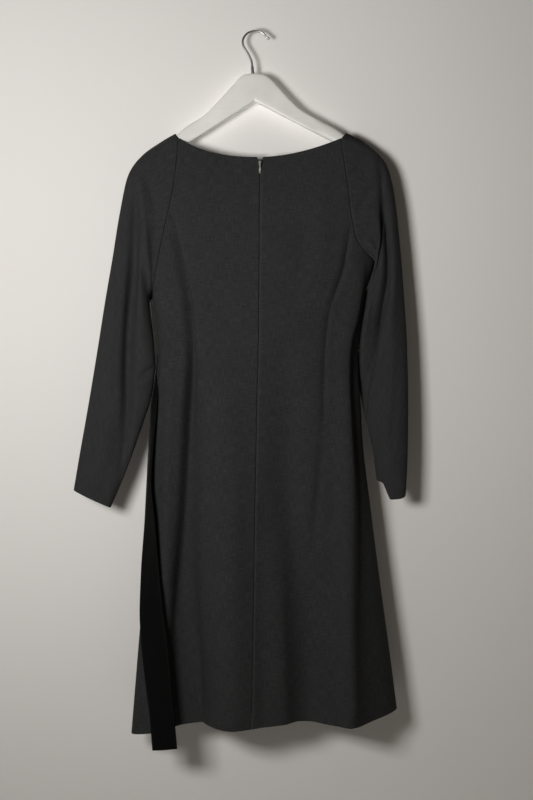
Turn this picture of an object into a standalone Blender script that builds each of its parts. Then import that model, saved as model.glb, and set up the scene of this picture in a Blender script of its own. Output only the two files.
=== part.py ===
"""Long-sleeve wool dress on a wooden hanger, seen from its back.

Metres, +Z up, +X to the wearer's right, the dress's back faces -Y.
The origin is the inside top of the hanger's hook.
Every size in the tables is in millimetres.
"""

import math

import bpy
import numpy as np

MM = 0.001

# ---- cloth ----
CLOTH_WALL = 1.5
SEAM_GAP = 0.36
ARMHOLE_GAP = 0.3
NECK_DROP = 34.8
NECK_POWERS = (2.6, 1.85)
NOTCH_WIDTH = 11.0
BACK_COLUMNS = 11

# Edges of the dress's body, a row per level from neck to hem.
# Rows 0 to 6 follow the armhole seams and rows 6 to 15 the side seams.
# level, left x, left y, left z, right x, right y, right z
EDGE_ROWS = (
    (0, -140.0, 0.0, -196.0, 157.0, 0.0, -196.0),
    (1, -142.0, 0.0, -232.0, 161.0, 0.0, -232.0),
    (2, -149.0, 0.0, -290.0, 168.0, 0.0, -282.0),
    (3, -163.0, 0.0, -357.0, 174.0, 0.0, -334.0),
    (4, -178.0, 0.0, -430.0, 184.0, 0.0, -381.0),
    (5, -184.5, 0.0, -466.0, 201.0, 0.0, -405.0),
    (6, -187.0, 0.0, -486.0, 218.0, 0.0, -420.0),
    (7, -180.0, 0.0, -520.0, 202.0, 0.0, -470.0),
    (8, -176.5, 0.0, -552.0, 187.0, 0.0, -518.0),
    (9, -175.5, 0.0, -608.0, 179.0, 0.0, -588.0),
    (10, -180.0, 1.0, -673.0, 189.0, 2.0, -669.0),
    (11, -188.0, 1.0, -763.0, 198.0, 7.0, -759.0),
    (12, -195.0, 1.0, -868.0, 210.0, 12.0, -855.0),
    (13, -204.5, 1.0, -1014.0, 229.0, 19.0, -1000.0),
    (14, -217.0, 1.0, -1171.0, 250.0, 25.0, -1150.0),
    (15, -226.0, 1.0, -1282.0, 262.0, 28.0, -1242.0),
)

# Sections of the dress's body at the same levels. "Armhole" is half the depth of the
# armhole seam, "back" and "front" how far the middle stands out, "square" the flatness.
# level, armhole, back, front, square, centre x, neck dip
SECTION_ROWS = (
    (0, 11.0, 14.0, 14.0, 3.0, 9.0, 1.00),
    (1, 18.0, 20.0, 20.0, 3.0, 9.0, 0.84),
    (2, 24.0, 26.5, 27.0, 3.2, 8.5, 0.56),
    (3, 27.0, 30.0, 32.0, 3.4, 8.0, 0.24),
    (4, 25.0, 32.0, 37.0, 3.2, 8.0, 0.05),
    (5, 17.0, 32.5, 39.5, 3.6, 7.5, 0.00),
    (6, 0.0, 33.0, 41.0, 5.2, 7.5, 0.00),
    (7, 0.0, 33.0, 42.0, 4.4, 7.0, 0.00),
    (8, 0.0, 33.0, 42.0, 3.6, 7.0, 0.00),
    (9, 0.0, 34.0, 42.0, 2.9, 6.0, 0.00),
    (10, 0.0, 38.0, 44.0, 2.5, 4.0, 0.00),
    (11, 0.0, 43.0, 48.0, 2.5, 2.5, 0.00),
    (12, 0.0, 47.0, 52.0, 2.5, 0.5, 0.00),
    (13, 0.0, 52.0, 57.0, 2.5, -1.5, 0.00),
    (14, 0.0, 56.0, 62.0, 2.5, -4.0, 0.00),
    (15, 0.0, 58.0, 64.0, 2.5, -6.0, 0.00),
)

# Levels of the mesh rows: the rows down to the underarm are shared with the sleeves.
ARMHOLE_LEVELS = (0, 0.4, 1, 1.5, 2, 2.5, 3, 3.5, 4, 4.5, 5, 5.55, 6)
LOWER_LEVELS = (
    6.4, 7, 8, 8.5, 9, 9.5, 10, 10.4, 10.8, 11.2, 11.6, 12,
    12.3, 12.6, 12.9, 13.2, 13.5, 13.8, 14.1, 14.4, 14.7, 15,
)

# Soft folds that start below the waist and are deepest at the hem.
# start x, start z, hem x, half width, stand-out at the hem (a trough is negative)
BACK_FOLDS = (
    (-118.0, -640.0, -134.0, 25.0, -17.0),
    (-64.0, -760.0, -36.0, 42.0, 11.0),
    (124.0, -640.0, 92.0, 33.0, -18.0),
    (158.0, -600.0, 177.0, 25.0, 24.0),
)
FRONT_FOLDS = (
    (-140.0, -640.0, -165.0, 30.0, 14.0),
    (-70.0, -680.0, -88.0, 34.0, -17.0),
    (-10.0, -760.0, -14.0, 40.0, 12.0),
    (64.0, -660.0, 76.0, 36.0, -18.0),
    (140.0, -640.0, 168.0, 32.0, 15.0),
)

# How much the back's hem is lifted over its straight line.
# share from left to right, lift
BACK_HEM_LIFT = (
    (0.00, 0.0),
    (0.11, 6.0),
    (0.23, 16.0),
    (0.40, 5.0),
    (0.60, 5.0),
    (0.75, -4.0),
    (0.84, -8.0),
    (1.00, 0.0),
)

# ---- sleeves ----
# A row per ring: the outer (shoulder) line, the inner (underarm) line and the depth.
# ring, outer x, outer y, outer z, inner x, inner y, inner z, back depth, front depth
LEFT_SLEEVE_ROWS = (
    (0, -145.0, 0.0, -186.0, -187.0, 0.0, -486.0, 27.0, 27.0),
    (1, -172.0, 0.0, -200.5, -190.5, 0.0, -489.5, 27.0, 27.0),
    (2, -205.0, 0.0, -223.5, -192.0, -1.0, -498.0, 28.0, 28.0),
    (3, -231.5, 0.0, -263.0, -190.5, -3.0, -514.0, 28.0, 27.0),
    (4, -246.0, -2.0, -330.0, -187.0, -8.0, -540.0, 26.0, 26.0),
    (5, -259.0, -4.0, -412.0, -183.5, -13.0, -575.0, 24.0, 24.0),
    (6, -272.5, -6.0, -492.0, -182.0, -15.0, -612.0, 23.0, 23.0),
    (7, -287.5, -6.0, -587.0, -188.0, -14.0, -662.0, 22.0, 21.0),
    (8, -303.5, -4.0, -682.0, -205.0, -12.0, -717.0, 20.0, 20.0),
    (9, -320.0, -2.0, -774.0, -237.0, -9.0, -806.0, 18.0, 18.0),
    (10, -331.0, 0.0, -838.0, -264.0, -6.0, -869.0, 17.0, 17.0),
)
RIGHT_SLEEVE_ROWS = (
    (0, 166.0, 0.0, -184.5, 218.0, 0.0, -420.0, 27.0, 27.0),
    (1, 195.0, 0.0, -197.5, 222.5, 0.0, -423.0, 27.0, 27.0),
    (2, 222.5, 0.0, -218.5, 223.0, 1.0, -432.0, 28.0, 28.0),
    (3, 241.5, 0.0, -247.0, 219.5, 2.0, -448.0, 28.0, 28.0),
    (4, 254.5, 0.0, -300.0, 212.5, 3.0, -476.0, 27.0, 27.0),
    (5, 263.5, 0.0, -380.0, 204.5, 4.0, -510.0, 26.0, 26.0),
    (6, 271.0, 0.0, -470.0, 196.0, 5.0, -563.0, 25.0, 25.0),
    (7, 277.5, 0.0, -580.0, 191.0, 6.0, -620.0, 24.0, 24.0),
    (8, 279.5, 0.0, -680.0, 199.0, 8.0, -706.0, 22.0, 22.0),
    (9, 278.5, 0.0, -770.0, 214.0, 11.0, -764.0, 19.0, 19.0),
    (10, 275.0, 0.0, -845.0, 224.0, 14.0, -820.0, 16.0, 16.0),
)
SLEEVE_RINGS = (
    0, 0.35, 0.7, 1.1, 1.5, 2, 2.5, 3, 3.4, 3.8, 4.2, 4.6, 5, 5.4, 5.8,
    6.2, 6.6, 7, 7.4, 7.8, 8.2, 8.6, 9, 9.35, 9.7, 10,
)

# Creases of the sleeves, on the back (+1) or the front (-1). A place around the sleeve is
# 0 on its outer line and 1 on its inner line.
# side, first ring, place there, last ring, place there, half width, stand-out
LEFT_SLEEVE_CREASES = (
    (1, 1.8, 0.30, 10.6, 0.66, 0.085, -11.0),
    (1, 1.2, 0.46, 6.0, 0.66, 0.10, 7.0),
    (1, 1.0, 0.36, 3.6, 0.52, 0.06, -5.0),
    (-1, 2.5, 0.36, 10.4, 0.58, 0.09, -9.0),
    (-1, 1.5, 0.60, 6.5, 0.72, 0.09, 6.0),
)
RIGHT_SLEEVE_CREASES = (
    (1, 1.0, 0.30, 7.4, 0.80, 0.085, -12.0),
    (1, 3.5, 0.30, 9.5, 0.42, 0.11, 7.0),
    (1, 0.6, 0.40, 3.4, 0.62, 0.06, -5.0),
    (-1, 2.0, 0.34, 8.8, 0.62, 0.09, -9.0),
    (-1, 4.0, 0.66, 9.6, 0.60, 0.10, 5.0),
)
LEFT_CUFF_DROP = 0.0
RIGHT_CUFF_DROP = 22.0
CUFF_DROP_PLACE = 0.60
CUFF_DROP_WIDTH = 0.17

# ---- velvet sash ----
SASH_WALL = 1.4
# z, outer edge x, outer edge y, inner edge x, inner edge y
SASH_ROWS = (
    (-590.0, -178.6, 9.0, -177.35, -1.5),
    (-625.0, -184.0, 24.0, -181.8, -4.0),
    (-669.0, -191.5, 26.0, -183.5, -12.0),
    (-746.0, -196.3, 24.0, -186.0, -22.0),
    (-819.0, -199.5, 16.0, -187.0, -31.0),
    (-889.0, -202.0, 4.0, -180.0, -41.0),
    (-983.0, -208.0, -6.0, -171.5, -43.5),
    (-1050.0, -209.5, -17.0, -164.5, -46.5),
    (-1105.0, -206.5, -28.0, -156.5, -50.0),
    (-1177.0, -198.0, -36.0, -149.5, -54.5),
    (-1246.0, -188.8, -41.0, -143.0, -59.0),
    (-1303.0, -184.0, -42.0, -138.0, -60.0),
)
SASH_STEPS = 36
SASH_COLUMNS = 4
SASH_HEM_SLANT = 8.0

# ---- zip ----
ZIP_HALF_WIDTH = 13.0
ZIP_COIL_HALF = 2.2
ZIP_TAPE_WALL = 0.9
ZIP_COIL_RISE = 1.3
ZIP_LAST_LEVEL = 11.2
SLIDER_SIZE = (5.6, 2.4, 8.5)
SLIDER_EAR = (0.9, 3.0, 3.4)
PIN_RADIUS = 0.55
PIN_REACH = 1.8
KNUCKLE_RADIUS = 1.3
KNUCKLE_BORE = 0.88
KNUCKLE_LENGTH = 3.0
PULL_LENGTH = 21.0
PULL_WIDTHS = (2.0, 3.4)
PULL_WALL = 1.0

# ---- hanger ----
# x, top z, bottom z, half thickness
HANGER_ROWS = (
    (-203.0, -228.5, -237.0, 3.6),
    (-199.0, -223.4, -240.0, 5.0),
    (-172.0, -204.0, -229.0, 5.8),
    (-146.0, -190.8, -217.0, 5.6),
    (-128.0, -174.5, -206.5, 6.0),
    (-94.0, -153.5, -186.0, 6.0),
    (-66.0, -125.5, -168.0, 6.2),
    (-38.0, -95.0, -150.5, 6.5),
    (-26.0, -82.0, -143.0, 6.8),
    (-16.0, -77.5, -136.0, 7.0),
    (-2.0, -76.5, -129.0, 7.0),
    (14.0, -78.0, -134.0, 7.0),
    (26.0, -84.0, -141.0, 6.8),
    (40.0, -98.0, -148.5, 6.5),
    (64.0, -124.5, -161.0, 6.2),
    (86.0, -144.5, -172.5, 6.0),
    (116.0, -160.5, -188.0, 6.0),
    (146.0, -176.5, -203.5, 6.0),
    (167.0, -190.4, -214.5, 5.6),
    (206.0, -208.2, -229.0, 5.0),
    (210.5, -214.0, -226.0, 3.6),
)
HANGER_SIDES = 12
HOOK_WIRE = 2.0
# x, z of the wire's middle, from the stem to the tip
HOOK_ROWS = (
    (-5.0, -76.0),
    (-7.5, -62.0),
    (-13.0, -39.5),
    (-20.5, -26.5),
    (-22.6, -16.5),
    (-19.0, -7.2),
    (-12.0, -0.8),
    (-1.5, 2.0),
    (9.0, 1.0),
    (16.5, -3.6),
    (21.0, -9.0),
    (27.0, -12.6),
)
HOOK_STEPS = 30
HOOK_SIDES = 10
FERRULE_RADIUS = 2.9
FERRULE_LENGTH = 25.0


def clear_scene():
    for thing in list(bpy.data.objects):
        bpy.data.objects.remove(thing, do_unlink=True)


def material(name, colour, roughness, metallic=0.0):
    made = bpy.data.materials.new(name)
    made.use_nodes = True
    shader = made.node_tree.nodes["Principled BSDF"]
    shader.inputs["Base Color"].default_value = (*colour, 1.0)
    shader.inputs["Roughness"].default_value = roughness
    shader.inputs["Metallic"].default_value = metallic
    made.diffuse_color = (*colour, 1.0)
    return made


def through_rows(rows, at):
    """Values between the rows of a table, on a cubic that never overshoots a row."""
    rows = np.asarray(rows, float)
    at = np.asarray(at, float)
    known = rows[:, 0]
    values = rows[:, 1:]
    step = np.diff(known)[:, None]
    slope = np.diff(values, axis=0) / step
    both = slope[:-1] * slope[1:]
    total = slope[:-1] + slope[1:]
    safe = np.where(np.abs(total) > 1e-12, total, 1.0)
    middle = np.where(both > 0, 2 * both / safe, 0.0)
    ends = np.vstack([slope[:1], middle, slope[-1:]])
    place = np.clip(np.searchsorted(known, at, side="right") - 1, 0, len(known) - 2)
    share = ((at - known[place]) / step[place, 0])[:, None]
    wide = step[place]
    return (
        values[place] * (1 + 2 * share) * (1 - share) ** 2
        + ends[place] * wide * share * (1 - share) ** 2
        + values[place + 1] * share**2 * (3 - 2 * share)
        + ends[place + 1] * wide * share**2 * (share - 1)
    )


def ease(share):
    share = np.clip(share, 0.0, 1.0)
    return share * share * (3 - 2 * share)


def unit(vectors):
    return vectors / np.maximum(np.linalg.norm(vectors, axis=-1, keepdims=True), 1e-12)


def grid_normals(grid, wrap):
    """Normals of a grid of points, row direction crossed with column direction."""
    down = np.gradient(grid, axis=0)
    if wrap:
        along = np.roll(grid, -1, axis=1) - np.roll(grid, 1, axis=1)
    else:
        along = np.gradient(grid, axis=1)
    return unit(np.cross(along, down))


def add_object(name, points, faces, look):
    """One mesh object in metres, with its faces turned outwards."""
    points = np.asarray(points, float)
    volume = 0.0
    for face in faces:
        for k in range(1, len(face) - 1):
            first, second, third = points[face[0]], points[face[k]], points[face[k + 1]]
            volume += float(np.dot(first, np.cross(second, third)))
    if volume < 0:
        faces = [tuple(reversed(face)) for face in faces]
    mesh = bpy.data.meshes.new(name)
    mesh.from_pydata((points * MM).tolist(), [], faces)
    mesh.update()
    mesh.materials.append(look)
    made = bpy.data.objects.new(name, mesh)
    bpy.context.scene.collection.objects.link(made)
    return made


def wall_solid(name, outer, inner, wrap, look):
    """A closed wall between two grids of points of the same size."""
    rows, columns = outer.shape[:2]
    points = np.concatenate([outer.reshape(-1, 3), inner.reshape(-1, 3)])
    half = rows * columns
    faces = []
    spans = columns if wrap else columns - 1
    for i in range(rows - 1):
        for j in range(spans):
            k = (j + 1) % columns
            a, b = i * columns + j, i * columns + k
            c, d = a + columns, b + columns
            faces.append((a, b, d, c))
            faces.append((half + c, half + d, half + b, half + a))
    for j in range(spans):
        k = (j + 1) % columns
        last = (rows - 1) * columns
        faces.append((half + j, half + k, k, j))
        faces.append((last + j, last + k, half + last + k, half + last + j))
    if not wrap:
        for i in range(rows - 1):
            a, c = i * columns, (i + 1) * columns
            b, d = a + columns - 1, c + columns - 1
            faces.append((a, c, half + c, half + a))
            faces.append((half + b, half + d, d, b))
    return add_object(name, points, faces, look)


def ring_solid(name, rings, look):
    """A solid through closed rings of points, with a flat face at each end."""
    count, around = rings.shape[:2]
    faces = [tuple(range(around))]
    faces.append(tuple(reversed(range((count - 1) * around, count * around))))
    for i in range(count - 1):
        for j in range(around):
            k = (j + 1) % around
            a, b = i * around + j, i * around + k
            faces.append((b, a, a + around, b + around))
    return add_object(name, rings.reshape(-1, 3), faces, look)


# ---- the dress's body ----
def column_shares(count, crowding):
    """Shares from a side seam to the middle, closer together at the side."""
    even = np.linspace(0.0, 1.0, count + 1)
    return (1 - crowding) * even + crowding * (1 - np.cos(even * math.pi / 2))


def body_surface(levels, shares, side):
    """Points of the back (side -1) or the front (side +1).

    shares run from -1 at the left edge through 0 at the middle line to +1 at the right.
    """
    levels = np.asarray(levels, float)
    edges = through_rows(EDGE_ROWS, levels)
    sections = through_rows(SECTION_ROWS, levels)
    left, right = edges[:, None, 0:3], edges[:, None, 3:6]
    armhole = sections[:, None, 0]
    stand = sections[:, None, 1] if side < 0 else sections[:, None, 2]
    square = sections[:, None, 3]
    centre = sections[:, None, 4]
    dip = sections[:, None, 5]
    shares = np.asarray(shares, float)[None, :]
    across = np.where(
        shares < 0,
        centre + (centre - left[..., 0]) * shares,
        centre + (right[..., 0] - centre) * shares,
    )
    part = (across - left[..., 0]) / (right[..., 0] - left[..., 0])
    spread = np.abs(2 * part - 1)
    round_off = np.clip(1 - spread**square, 0.0, 1.0) ** 0.5
    side_y = left[..., 1] + (right[..., 1] - left[..., 1]) * part
    depth = armhole + np.maximum(stand - armhole, 0.0) * round_off
    depth = depth - side * side_y * round_off
    height = left[..., 2] + (right[..., 2] - left[..., 2]) * part
    neck_power = np.where(part < 0.5, NECK_POWERS[0], NECK_POWERS[1])
    height = height - NECK_DROP * dip * (1 - spread**neck_power)
    folds = BACK_FOLDS if side < 0 else FRONT_FOLDS
    for start_x, start_z, hem_x, width, stand_out in folds:
        run = np.clip((start_z - height) / (start_z + 1265.0), 0.0, 1.0)
        line = start_x + (hem_x - start_x) * run
        depth = depth + stand_out * ease(run * 0.9) * np.exp(-(((across - line) / width) ** 2))
    if side < 0:
        lift = through_rows(BACK_HEM_LIFT, part.reshape(-1)).reshape(part.shape)
        height = height + lift * ease((levels[:, None] - 12.5) / 2.5)
    return np.stack([across, side_y + side * depth, height], axis=-1)


def body_grids():
    levels = np.array(ARMHOLE_LEVELS + LOWER_LEVELS, float)
    to_middle = column_shares(BACK_COLUMNS, 0.5)
    shares = np.concatenate([to_middle - 1, (1 - to_middle[::-1])[1:]])
    back = body_surface(levels, shares, -1)
    front = body_surface(levels, shares, 1)
    back_normal = -grid_normals(back, False)
    front_normal = grid_normals(front, False)
    back_normal *= np.sign(-back_normal[:, BACK_COLUMNS, 1])[:, None, None]
    front_normal *= np.sign(front_normal[:, BACK_COLUMNS, 1])[:, None, None]
    return levels, back, front, back_normal, front_normal


def match_side_seams(back_normal, front_normal, first_row):
    for column in (0, -1):
        shared = unit(back_normal[first_row:, column] + front_normal[first_row:, column])
        back_normal[first_row:, column] = shared
        front_normal[first_row:, column] = shared


def draw_in(grid, column, neighbour, distance):
    """Moves one edge column of a grid towards the next column."""
    way = unit(grid[:, neighbour] - grid[:, column])
    grid[:, column] = grid[:, column] + way * distance


def wall_faces(grid, normal, wall):
    return grid + normal * wall / 2, grid - normal * wall / 2


# ---- sleeves ----
def sleeve_ring(rows, rings, places):
    """Points on the sleeve's plain oval; the sign of a place tells back (+) from front (-)."""
    values = through_rows(rows, rings)[:, None, :]
    outer, inner = values[..., 0:3], values[..., 3:6]
    turn = np.abs(places) * math.pi
    along = ((1 - np.cos(turn)) / 2)[..., None]
    points = outer + (inner - outer) * along
    swell = np.sin(np.clip(turn, 0.0, math.pi)) ** 0.8
    depth = np.where(places >= 0, -values[..., 6], values[..., 7])
    points[..., 1] += depth * swell
    return points


def sleeve_grid(rows, creases, back_seam, front_seam, cuff_drop):
    """Rings from the armhole to the cuff. The first one lies on the armhole seams."""
    count = len(back_seam)
    start = np.array(rows[0][1:4])
    end = np.array(rows[0][4:7])
    chord = end - start
    seam = np.concatenate([start[None], back_seam, front_seam[-2::-1]])
    along = ((seam - start) @ chord) / (chord @ chord)
    on_seam = np.arccos(np.clip(1 - 2 * along, -1.0, 1.0)) / math.pi
    even = np.concatenate([np.arange(count + 1) / count, np.arange(count - 1, 0, -1) / count])
    sign = np.concatenate([np.ones(count + 1), -np.ones(count - 1)])
    rings = np.array(SLEEVE_RINGS, float)
    settle = ease(rings / 4.0)[:, None]
    places = on_seam[None] + (even - on_seam)[None] * settle
    points = sleeve_ring(rows, rings, places * sign)
    rest = seam[None] - points[:1]
    points = points + rest * (1 - ease(rings / 3.0))[:, None, None]
    for side, first, from_place, last, to_place, width, stand_out in creases:
        run = (rings - first) / (last - first)
        line = from_place + (to_place - from_place) * np.clip(run, 0.0, 1.0)
        swell = np.sin(np.clip(run, 0.0, 1.0) * math.pi) ** 0.6
        bump = stand_out * swell[:, None] * np.exp(-(((places - line[:, None]) / width) ** 2))
        points[..., 1] -= side * np.where(sign[None] == side, bump, 0.0)
    near = np.where(sign > 0, np.exp(-(((places - CUFF_DROP_PLACE) / CUFF_DROP_WIDTH) ** 2)), 0.0)
    points[..., 2] -= cuff_drop * near * ease((rings - 8.6) / 1.4)[:, None]
    return points


def build_cloth(cloth):
    levels, back, front, back_normal, front_normal = body_grids()
    top_rows = len(ARMHOLE_LEVELS)
    underarm = top_rows - 1
    match_side_seams(back_normal, front_normal, underarm)
    for name, rows, creases, column, cuff_drop in (
        ("sleeve_left", LEFT_SLEEVE_ROWS, LEFT_SLEEVE_CREASES, 0, LEFT_CUFF_DROP),
        ("sleeve_right", RIGHT_SLEEVE_ROWS, RIGHT_SLEEVE_CREASES, -1, RIGHT_CUFF_DROP),
    ):
        points = sleeve_grid(
            rows, creases, back[:top_rows, column], front[:top_rows, column], cuff_drop
        )
        normal = grid_normals(points, True)
        heart = points.mean(axis=1, keepdims=True)
        normal *= np.sign(((points - heart) * normal).sum(axis=-1).mean())
        seam_normal = normal[0, 1:].copy()
        body_side = np.concatenate(
            [back_normal[:top_rows, column], front_normal[underarm - 1 :: -1, column]]
        )
        seam_normal = unit(seam_normal + body_side)
        normal[0, 1:] = seam_normal
        back_normal[:top_rows, column] = seam_normal[:top_rows]
        front_normal[:underarm, column] = seam_normal[top_rows:][::-1]
        front_normal[underarm, column] = seam_normal[underarm]
        points[0, 1:] += unit(points[1, 1:] - points[0, 1:]) * ARMHOLE_GAP
        wall_solid(name, *wall_faces(points, normal, CLOTH_WALL), True, cloth)
    for grid in (back, front):
        draw_in(grid, 0, 1, SEAM_GAP / 2)
        draw_in(grid, -1, -2, SEAM_GAP / 2)
    middle = BACK_COLUMNS
    left = back[:, : middle + 1].copy()
    right = back[:, middle:].copy()
    draw_in(left, -1, -2, SEAM_GAP / 2)
    draw_in(right, 0, 1, SEAM_GAP / 2)
    left[0, -1, 0] -= NOTCH_WIDTH / 2
    right[0, 0, 0] += NOTCH_WIDTH / 2
    middle_normal = back_normal[:, : middle + 1], back_normal[:, middle:]
    wall_solid("back_left", *wall_faces(left, middle_normal[0], CLOTH_WALL), False, cloth)
    wall_solid("back_right", *wall_faces(right, middle_normal[1], CLOTH_WALL), False, cloth)
    wall_solid("front", *wall_faces(front, front_normal, CLOTH_WALL), False, cloth)
    return levels, back, back_normal


# ---- sash ----
def build_sash(velvet):
    rows = np.array(SASH_ROWS)
    order = np.linspace(0.0, len(rows) - 1.0, SASH_STEPS + 1)
    table = np.column_stack([np.arange(len(rows)), rows])
    values = through_rows(table, order)
    outer = np.column_stack([values[:, 1], values[:, 2], values[:, 0]])
    inner = np.column_stack([values[:, 3], values[:, 4], values[:, 0]])
    share = np.linspace(0.0, 1.0, SASH_COLUMNS + 1)[None, :, None]
    grid = outer[:, None] + (inner - outer)[:, None] * share
    slant = ease((order - (len(rows) - 3.0)) / 2.0)[:, None]
    grid[..., 2] += SASH_HEM_SLANT * slant * share[0, :, 0][None]
    normal = grid_normals(grid, False)
    wall_solid("sash", *wall_faces(grid, normal, SASH_WALL), False, velvet)


# ---- zip ----
def build_zip(levels, back, back_normal, tape, metal):
    middle = BACK_COLUMNS
    rows = (levels >= ARMHOLE_LEVELS[1]) & (levels <= ZIP_LAST_LEVEL)
    line = back[rows, middle]
    columns = []
    normals = []
    for neighbour, distance in (
        (-1, ZIP_HALF_WIDTH), (-1, ZIP_COIL_HALF), (0, 0.0), (1, ZIP_COIL_HALF), (1, ZIP_HALF_WIDTH),
    ):
        way = back[rows, middle + neighbour] - line
        length = np.maximum(np.linalg.norm(way, axis=-1, keepdims=True), 1.0)
        share = distance / length
        columns.append(line + way * share)
        turned = back_normal[rows, middle + neighbour] - back_normal[rows, middle]
        normals.append(unit(back_normal[rows, middle] + turned * share))
    grid = np.stack(columns, axis=1)
    normal = np.stack(normals, axis=1)
    near = grid - normal * (CLOTH_WALL / 2 + 0.3)
    wall = np.full(5, ZIP_TAPE_WALL)
    wall[1:4] += ZIP_COIL_RISE
    far = near - normal * wall[None, :, None]
    wall_solid("zip", near, far, False, tape)
    top = line[0]
    slope = (line[1, 1] - top[1]) / (line[1, 2] - top[2])
    face_y = top[1] - slope * SLIDER_SIZE[2] / 2 - CLOTH_WALL / 2
    build_slider(np.array([top[0], face_y - 0.35 - SLIDER_SIZE[1] / 2, top[2] + 0.5]), metal)


def box(name, centre, size, look, bevel=0.0):
    half = np.array(size) / 2
    corners = [
        centre + half * np.array([x, y, z])
        for x in (-1, 1)
        for y in (-1, 1)
        for z in (-1, 1)
    ]
    faces = [
        (0, 1, 3, 2), (4, 6, 7, 5), (0, 4, 5, 1), (2, 3, 7, 6), (0, 2, 6, 4), (1, 5, 7, 3),
    ]
    made = add_object(name, np.array(corners), faces, look)
    if bevel:
        rounding = made.modifiers.new("rounding", "BEVEL")
        rounding.width = bevel * MM
        rounding.segments = 2
    return made


def bar(name, centre, radius, length, look, sides=16):
    """A round bar along X."""
    angle = np.arange(sides) * 2 * math.pi / sides
    circle = np.stack([np.zeros(sides), np.cos(angle), np.sin(angle)], axis=-1) * radius
    ends = np.array([-length / 2, length / 2])
    rings = circle[None] + centre + ends[:, None, None] * np.array([1.0, 0.0, 0.0])
    return ring_solid(name, rings, look)


def join(whole, piece, operation):
    cut = whole.modifiers.new(piece.name, "BOOLEAN")
    cut.operation = operation
    cut.solver = "EXACT"
    cut.object = piece
    piece.hide_render = True
    piece.display_type = "WIRE"


def build_slider(centre, metal):
    body = box("zip_slider", centre, SLIDER_SIZE, metal, 0.7)
    face = centre[1] - SLIDER_SIZE[1] / 2
    pin_centre = np.array([centre[0], face - PIN_REACH, centre[2] + 0.6])
    inside = KNUCKLE_LENGTH / 2 + 0.3
    for name, sign in (("ear_left", -1), ("ear_right", 1)):
        ear_centre = np.array(
            [centre[0] + sign * (inside + SLIDER_EAR[0] / 2), face - SLIDER_EAR[1] / 2 + 0.6, pin_centre[2]]
        )
        join(body, box(name, ear_centre, SLIDER_EAR, metal), "UNION")
    pin_length = 2 * inside + 2 * SLIDER_EAR[0] - 0.5
    join(body, bar("pin", pin_centre, PIN_RADIUS, pin_length, metal), "UNION")
    knuckle = bar("zip_pull", pin_centre, KNUCKLE_RADIUS, KNUCKLE_LENGTH, metal, 20)
    top, bottom = pin_centre[2] - 0.9, pin_centre[2] - PULL_LENGTH
    heights = np.array([top, top - 3.0, bottom + 6.0, bottom + 1.6, bottom + 0.4, bottom])
    widths = np.array([PULL_WIDTHS[0], PULL_WIDTHS[0], PULL_WIDTHS[1], PULL_WIDTHS[1], 2.4, 1.2])
    corners = np.array([[-0.5, -0.5], [0.5, -0.5], [0.5, 0.5], [-0.5, 0.5]])
    rings = np.empty((len(heights), 4, 3))
    rings[..., 0] = pin_centre[0] + widths[:, None] * corners[None, :, 0]
    rings[..., 1] = pin_centre[1] + PULL_WALL * corners[None, :, 1]
    rings[..., 2] = heights[:, None]
    join(knuckle, ring_solid("tongue", rings, metal), "UNION")
    join(knuckle, bar("bore", pin_centre, KNUCKLE_BORE, KNUCKLE_LENGTH + 2, metal, 20), "DIFFERENCE")


# ---- hanger ----
def build_hanger(wood, chrome):
    rows = np.array(HANGER_ROWS)
    angle = (np.arange(HANGER_SIDES) + 0.5) * 2 * math.pi / HANGER_SIDES
    wave = np.stack([np.cos(angle), np.sin(angle)])
    shape = np.sign(wave) * np.abs(wave) ** 0.9
    rings = np.empty((len(rows), HANGER_SIDES, 3))
    rings[..., 0] = rows[:, 0, None]
    rings[..., 1] = rows[:, 3, None] * shape[0][None]
    middle, half = (rows[:, 1] + rows[:, 2]) / 2, (rows[:, 1] - rows[:, 2]) / 2
    reach = half / np.abs(shape[1]).max()
    rings[..., 2] = middle[:, None] + reach[:, None] * shape[1][None]
    ring_solid("hanger", rings, wood)
    path_rows = np.array(HOOK_ROWS)
    table = np.column_stack([np.arange(len(path_rows)), path_rows])
    order = np.linspace(0.0, len(path_rows) - 1.0, HOOK_STEPS + 1)
    path = smooth_path(table, order)
    way = unit(np.gradient(path, axis=0))
    across = np.stack([-way[:, 1], way[:, 0]], axis=-1)
    around = np.arange(HOOK_SIDES) * 2 * math.pi / HOOK_SIDES
    radius = np.full(len(path), HOOK_WIRE)
    travelled = np.concatenate([[0.0], np.cumsum(np.linalg.norm(np.diff(path, axis=0), axis=1))])
    radius[travelled < FERRULE_LENGTH * 0.6] = FERRULE_RADIUS
    radius[-1] = HOOK_WIRE * 0.55
    rings = np.empty((len(path), HOOK_SIDES, 3))
    swing = np.cos(around)[None] * radius[:, None]
    rings[..., 0] = path[:, 0, None] + across[:, 0, None] * swing
    rings[..., 1] = np.sin(around)[None] * radius[:, None]
    rings[..., 2] = path[:, 1, None] + across[:, 1, None] * swing
    ring_solid("hanger_hook", rings, chrome)


def smooth_path(table, order):
    """A round curve through the rows of a table, each end leaving along its first leg."""
    values = table[:, 1:]
    ends = np.vstack([2 * values[0] - values[1], values, 2 * values[-1] - values[-2]])
    place = np.clip(np.floor(order).astype(int), 0, len(values) - 2)
    share = (order - place)[:, None]
    a, b, c, d = (ends[place + k] for k in range(4))
    return 0.5 * (
        2 * b
        + (c - a) * share
        + (2 * a - 5 * b + 4 * c - d) * share**2
        + (3 * b - a - 3 * c + d) * share**3
    )


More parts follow.
